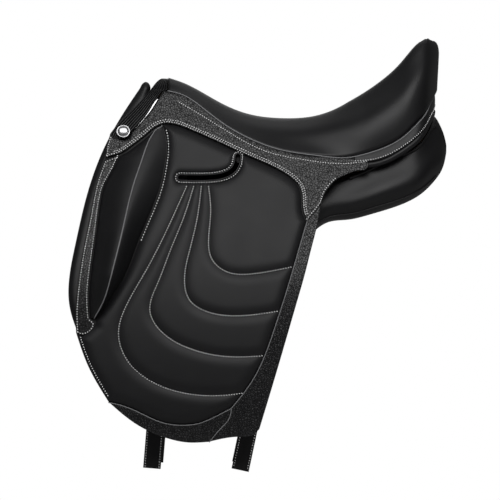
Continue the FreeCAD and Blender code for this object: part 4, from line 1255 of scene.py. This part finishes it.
def facing_arch():
    """The facing's line over the pommel as (y, z) points from the near foot."""
    foot_y, foot_z, tangent = facing_leg()
    angle = math.atan(tangent)
    share = (1 - math.sin(angle)) / math.cos(angle)
    join = (FACING_TOP - (foot_y + foot_z * tangent) * share) / (1 - tangent * share)
    radius = (foot_y - (join - foot_z) * tangent) / math.cos(angle)
    centre = join - radius * math.sin(angle)
    low = at(0, 0.45)[1]
    turns = np.linspace(angle, math.pi / 2, 24)
    arc = columns(radius * np.cos(turns), centre + radius * np.sin(turns))
    foot = np.array([arc[0, 0] + (arc[0, 1] - low) * tangent, low])
    half = np.concatenate([resample([foot, arc[0]], 2 * MM)[:-1], arc])
    return np.concatenate([half * (-1, 1), half[::-1][1:]])


def make_facing(lines):
    """Ribbed band over the pommel: rolls of leather side by side along the arch."""
    arch = facing_arch()
    front, rear = smooth(lines.facing_front), resample(lines.facing_rear, 2 * MM)
    across = np.linspace(0, 1, 85)
    back = across[::-7]
    ribs, deep, wall, nose = 7, 1.5 * MM, 4.2 * MM, 2.2 * MM
    rise = (np.abs(np.sin(across * ribs * math.pi)) ** 0.6 - 0.8) * deep
    rise -= nose * (1 - np.clip(across / 0.08, 0, 1)) ** 2
    rows = []
    for (y, z), (out_y, out_z) in zip(arch, lefts(arch)):
        start, reach = edge_x(front, z), edge_x(rear, z) - edge_x(front, z)
        rows.append(np.concatenate([
            columns(start + reach * across, y + out_y * rise, z + out_z * rise),
            columns(start + reach * back, y - out_y * wall, z - out_z * wall)]))
    band = grid_shell("pommel_facing_ribs", rows, angle=80)
    dress(band, "facing_leather", nodes=["pommel_facing"])


def make_trim(lines):
    """Bright sliver of trim between the facing and the skirt's front edge."""
    edge = shifted(smooth(lines.skirt_front), 0.5 * MM)[2:-5]
    share = np.linspace(0, 1, len(edge))
    width = (0.5 + 1.9 * np.clip(share / 0.8, 0, 1) ** 2) * MM
    width *= np.clip((1 - share) / 0.12, 0, 1) ** 0.5
    wide = edge + lefts(edge) * width[:, None]
    trim = side_sheet("pommel_trim", np.concatenate([edge, wide[-2:0:-1]]), -1.0 * MM,
                      2.6 * MM, rim=0.5 * MM, cell=1.5 * MM)
    dress_pair(trim, "stud_steel")


# Each strap's foot, in shares, and its lean to the rear.
STRAPS = {"front": ((-0.626, -1.123), math.radians(4.7)),
          "rear": ((-0.195, -1.13), math.radians(12.0))}
STRAP_TOP = 0.16  # share of the rise
STRAP_HALF = 12 * MM
BEHIND_FLAP = 3.0 * MM  # room between the flap and the straps


def strap_line(foot, lean):
    """Middle line of a strap down its length, on the form and then straight."""
    sizes = leather()
    foot_x, foot_z = at(*foot)
    outer = -(sizes.flap + BEHIND_FLAP + 2 * sizes.lap)
    split = -80 * MM  # below this height the tail hangs straight
    places = []
    for z in [*np.arange(STRAP_TOP * form().rise, foot_z - 1e-6, -4 * MM), foot_z]:
        x, bend_z = foot_x + (z - foot_z) * math.tan(lean), max(z, split)
        bend_x = foot_x + (bend_z - foot_z) * math.tan(lean)
        places.append((x, -float(form_y(bend_x, bend_z, outer)), z))
    return np.array(places)


def make_straps():
    thick, half, rim = leather().strap, STRAP_HALF, 1.1 * MM
    shares = np.concatenate([np.linspace(-1, -0.86, 4), np.linspace(-0.8, 0.8, 9),
                             np.linspace(0.86, 1, 4)])
    drop = rim - round_over((1 - np.abs(shares)) * half, rim)
    for name, (foot, lean) in STRAPS.items():
        middle = strap_line(foot, lean)
        across = half * np.array([math.cos(lean), 0, -math.sin(lean)])
        ring = np.concatenate([shares[:, None] * across + columns(0, drop, 0),
                               shares[::-1, None] * across + (0, thick, 0)])
        strap = grid_shell(f"{name}_girth_strap", middle[:, None] + ring)
        tail = f"{name}_strap_SIDE_tail"
        dress_pair(strap, "strap_leather", tail,
                   [f"{name}_strap_SIDE", f"{name}_strap_root_SIDE"])
        seams = [stitch_row(middle[:-1] + across * share) for share in (-0.80, 0.80)]
        sew(f"{name}_strap_stitching", seams, "strap_leather", tail)


def make_studs(lines):
    """Plain domed stud with a rolled rim."""
    foot_y, foot_z, tangent = facing_leg()
    angle = math.atan(tangent)
    x, z = lines.stud
    centre = Vector((x, -(foot_y - (z - foot_z) * tangent), z))
    out = Vector((0, -math.cos(angle), math.sin(angle)))
    side = Vector((1, 0, 0))
    up = out.cross(side)
    radius = 9.6 * MM
    profile = [(0.12, 4.28), (0.25, 4.2), (0.4, 3.95), (0.55, 3.55), (0.68, 3.0),
               (0.78, 2.4), (0.81, 2.1), (0.86, 2.4), (0.93, 2.4), (0.99, 1.8), (1.0, 1.2),
               (0.98, 0.3)]
    turns = np.linspace(0, 2 * math.pi, 49)[:-1]
    rows = [[centre + out * height * MM + (side * math.cos(turn) + up * math.sin(turn))
             * share * radius for turn in turns] for share, height in profile]
    stud = grid_shell("pommel_stud_dome", rows, angle=70)
    dress_pair(stud, "stud_steel", nodes=["pommel_stud_SIDE"])


def make_slot_rims(lines):
    """Rolled lip round the stirrup-leather slot."""
    sizes = leather()
    height = sizes.lap + 0.80 * sizes.padding
    lip = piping("slot_lip", on_side(slot_outline(lines, SLOT_LIP), height), 1.1 * MM,
                 cyclic=True)
    dress_pair(lip, "smooth_leather", FLAP)


STITCH_STAND = 0.6 * MM  # the thread's middle above its leather


def seam(points, depth, start=0.0, stop=1.0):
    """One stitch row on the side form, over a share of its path."""
    path = resample(points, 1.5 * MM)
    first, last = int(start * (len(path) - 1)), int(stop * (len(path) - 1)) + 1
    return stitch_row(on_side(path[first:last], depth + STITCH_STAND))


def make_seams(lines):
    sizes = leather()
    skirt_top, strip_top = sizes.lap + sizes.skirt, sizes.lap + sizes.binding
    lower = np.vstack([smooth(lines.skirt_drop)[4:], smooth(lines.skirt_lift)[1:]])
    rear = smooth(np.vstack([lines.skirt_rear, lines.skirt_tip[1:]]))
    sew("skirt_stitching", [
        seam(shifted(lower, -2.2 * MM), skirt_top),
        seam(shifted(lower, -5.0 * MM), skirt_top, stop=0.97),
        seam(shifted(rear, -2.4 * MM), skirt_top, start=0.42),
        seam(smooth(lines.skirt_line), skirt_top),
        seam(shifted(smooth(lines.skirt_nose), -2.2 * MM), skirt_top),
    ], "grained_leather")
    sew("band_stitching", [
        seam(shifted(smooth(path), -inset * MM), strip_top) for path, inset in (
            (lines.strip_inner, 2.0), (lines.flap_front, 2.2), (lines.strip_foot, 2.0),
            (lines.strip_head, 2.0))
    ], "grained_leather")
    welts = [piping("band_welt", on_side(shifted(smooth(path), 0.8 * MM), strip_top), 0.7 * MM)
             for path in (lines.band_inner, lines.hem_inner, lines.band_seam)]
    dress_pair(joined("band_welt", welts), "welt", FLAP, slot="grained_leather")


def make_quilting(lines):
    height = padding_height(lines)
    outline = padding_outline(lines)

    def on_pad(points, pitch=None):
        gap = path_distance(points, outline, True)
        depth = leather().lap + height(points, gap) + STITCH_STAND
        return stitch_row(on_side(points, depth), pitch)

    rows = [on_pad(resample(smooth(quilt), 1.5 * MM)) for quilt in lines.quilts]
    ring = slot_outline(lines, SLOT_STITCH)
    rows.append(on_pad(np.vstack([ring, ring[:1]])))
    rows.append(on_pad(shifted(smooth(lines.flap_toe), -4.0 * MM)[3:-3]))
    knee_top, knee_end = 4, 62  # points left bare under the skirt and beside the block's foot
    knee = shifted(smooth(lines.knee_rear)[knee_top:-knee_end], 2.5 * MM)
    rows.append(on_pad(knee, bpy.context.scene.saddle_thread.wide_pitch))
    sew("quilt_stitching", rows, "padding_leather")


def make_cantle_seams():
    sizes = leather()
    upper, lower = band_lines(sizes.lap + sizes.skirt + 0.45 * MM)
    row = stitch_row(resample(upper * 0.24 + lower * 0.76, 2 * MM))
    dress(joined("cantle_stitching", [row]), "thread", slot="smooth_leather")


def finish_cad_nodes():
    """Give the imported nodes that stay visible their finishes."""
    for entry in frame["record"]["subparts"]:
        materials = frame["nodes"][entry["node"]].data.materials
        materials.clear()
        materials.append(FINISHES.get(entry["material_slot"]))


# --- Stage ----------------------------------------------------------------------

WHITE = (1, 1, 1, 1)


def backdrop_material(name, glow):
    """Pale paper that shows near white to the camera and in reflections."""
    finish = Finish(name, (0.55, 0.55, 0.55), 0.9)
    emission = finish.node("ShaderNodeEmission", None, {"Color": WHITE, "Strength": 1.12})
    seen, gloss = (finish.node("ShaderNodeLightPath", output=ray)
                   for ray in ("Is Camera Ray", "Is Glossy Ray"))
    finish.show("Material Output", finish.node("ShaderNodeMixShader", None, {
        0: seen * glow + gloss * (glow * 0.1), 1: Field(finish, finish.surface.outputs[0]),
        2: emission}))
    return finish.material


def studio_air(strength):
    """Even light from all around, seen as white paper by the camera."""
    world = bpy.data.worlds.new("studio_air")
    world.use_nodes = True
    nodes = Nodes(world.node_tree)
    seen = nodes.node("ShaderNodeLightPath", output="Is Camera Ray")
    air = nodes.node("ShaderNodeBackground", None, {"Color": WHITE, "Strength": strength})
    paper = nodes.node("ShaderNodeBackground", None, {"Color": WHITE})
    nodes.show("World Output", nodes.node("ShaderNodeMixShader", None,
                                          {0: seen, 1: air, 2: paper}))
    return world


def area_lamp(name, place, target, width, height, power):
    data = bpy.data.lights.new(name, "AREA")
    data.shape = "RECTANGLE"
    data.size, data.size_y = width, height
    data.energy = power
    lamp = bpy.data.objects.new(name, data)
    bpy.context.collection.objects.link(lamp)
    lamp.location = place
    lamp.rotation_euler = (Vector(target) - Vector(place)).to_track_quat("-Z", "Y").to_euler()


def make_stage():
    sizes = bpy.context.scene.saddle_stage
    bpy.ops.object.select_all(action="DESELECT")
    bpy.ops.mesh.primitive_plane_add(size=sizes.floor_size,
                                     location=(0, 0, CAD_BOX[0].z - sizes.floor_drop))
    floor = bpy.context.object
    floor.name = "studio_floor"
    floor.data.materials.append(backdrop_material("studio_paper", 0.85))
    middle = (sizes.centre_x, -0.1, 0.0)
    for name, place, target, width, height, power in (
            ("key_lamp", (-0.15, -1.65, 1.7), middle, 2.4, 1.2, sizes.key_power),
            ("fill_lamp", (1.7, -1.7, 0.7), middle, 1.0, 1.4, sizes.fill_power),
            ("top_lamp", (0.1, 0.9, 1.9), (0.05, 0, 0.1), 1.6, 1.0, sizes.rim_power),
            ("far_lamp", (-0.1, 2.1, 1.0), (0.0, 0.1, 0.0), 1.6, 1.0, sizes.far_power)):
        area_lamp(name, place, target, width, height, power)
    scene = bpy.context.scene
    scene.world = studio_air(sizes.air)
    scene.view_settings.view_transform = "Standard"
    data = bpy.data.cameras.new("view")
    camera = bpy.data.objects.new("view", data)
    bpy.context.collection.objects.link(camera)
    data.sensor_width = sizes.sensor
    near_side = 0.13  # the near flap's distance from the middle plane
    data.lens = sizes.sensor * (sizes.distance - near_side) / sizes.field
    data.clip_end = 100
    camera.location = (sizes.centre_x, -sizes.distance, sizes.centre_z)
    camera.rotation_euler = (math.pi / 2, 0, 0)
    scene.camera = camera


# --- Add-on ---------------------------------------------------------------------

class SADDLE_OT_finishes(bpy.types.Operator):
    """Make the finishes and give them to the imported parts"""

    bl_idname = "saddle.finishes"
    bl_label = "Finishes"

    def execute(self, context):
        make_finishes()
        finish_cad_nodes()
        return {"FINISHED"}


class SADDLE_OT_stage(bpy.types.Operator):
    """Set up floor, backdrop, lamps and camera"""

    bl_idname = "saddle.stage"
    bl_label = "Stage"

    def execute(self, context):
        make_stage()
        return {"FINISHED"}


class SADDLE_OT_seat(bpy.types.Operator):
    """Make the seat cover, its foam and the band below the cantle"""

    bl_idname = "saddle.seat"
    bl_label = "Seat"

    def execute(self, context):
        make_seat()
        make_cantle_band()
        make_seat_welt()
        make_cantle_seams()
        return {"FINISHED"}


class SADDLE_OT_pommel(bpy.types.Operator):
    """Make the ribbed facing and its studs"""

    bl_idname = "saddle.pommel"
    bl_label = "Pommel"

    def execute(self, context):
        lines = Lines()
        make_facing(lines)
        make_trim(lines)
        make_studs(lines)
        return {"FINISHED"}


class SADDLE_OT_skirts(bpy.types.Operator):
    """Make the grained skirts"""

    bl_idname = "saddle.skirts"
    bl_label = "Skirts"

    def execute(self, context):
        make_skirts(Lines())
        return {"FINISHED"}


class SADDLE_OT_flaps(bpy.types.Operator):
    """Make the flaps with their quilted pads, bindings and slots"""

    bl_idname = "saddle.flaps"
    bl_label = "Flaps"

    def execute(self, context):
        lines = Lines()
        make_flaps(lines)
        make_padding(lines)
        make_bindings(lines)
        make_slot_rims(lines)
        return {"FINISHED"}


class SADDLE_OT_knee_blocks(bpy.types.Operator):
    """Make the outside knee blocks with their piping"""

    bl_idname = "saddle.knee_blocks"
    bl_label = "Knee blocks"

    def execute(self, context):
        make_knee_blocks(Lines())
        return {"FINISHED"}


class SADDLE_OT_panels(bpy.types.Operator):
    """Make the flocked panels"""

    bl_idname = "saddle.panels"
    bl_label = "Panels"

    def execute(self, context):
        make_panels()
        make_panel_fronts(Lines())
        return {"FINISHED"}


class SADDLE_OT_straps(bpy.types.Operator):
    """Make the girth straps"""

    bl_idname = "saddle.straps"
    bl_label = "Girth straps"

    def execute(self, context):
        make_straps()
        return {"FINISHED"}


class SADDLE_OT_seams(bpy.types.Operator):
    """Sew the stitch rows of skirts, bindings and quilting"""

    bl_idname = "saddle.seams"
    bl_label = "Seams"

    def execute(self, context):
        lines = Lines()
        make_seams(lines)
        make_quilting(lines)
        return {"FINISHED"}


STEPS = (SADDLE_OT_finishes, SADDLE_OT_stage, SADDLE_OT_seat, SADDLE_OT_pommel,
         SADDLE_OT_skirts, SADDLE_OT_flaps, SADDLE_OT_knee_blocks, SADDLE_OT_panels,
         SADDLE_OT_straps, SADDLE_OT_seams)


class SADDLE_PT_panel(bpy.types.Panel):
    """Sidebar list of the saddle's steps"""

    bl_idname = "SADDLE_PT_panel"
    bl_label = "Saddle"
    bl_space_type = "VIEW_3D"
    bl_region_type = "UI"
    bl_category = "Saddle"

    def draw(self, context):
        for step in STEPS:
            self.layout.operator(step.bl_idname)


def register():
    for group in GROUPS.values():
        bpy.utils.register_class(group)
    for name, group in GROUPS.items():
        setattr(bpy.types.Scene, name, PointerProperty(type=group))
    for step in STEPS:
        bpy.utils.register_class(step)
    bpy.utils.register_class(SADDLE_PT_panel)


def unregister():
    bpy.utils.unregister_class(SADDLE_PT_panel)
    for step in reversed(STEPS):
        bpy.utils.unregister_class(step)
    for name, group in GROUPS.items():
        delattr(bpy.types.Scene, name)
        bpy.utils.unregister_class(group)


def main():
    register()
    for step in STEPS:
        getattr(bpy.ops.saddle, step.bl_idname.split(".")[1])()


if __name__ == "__main__":
    main()
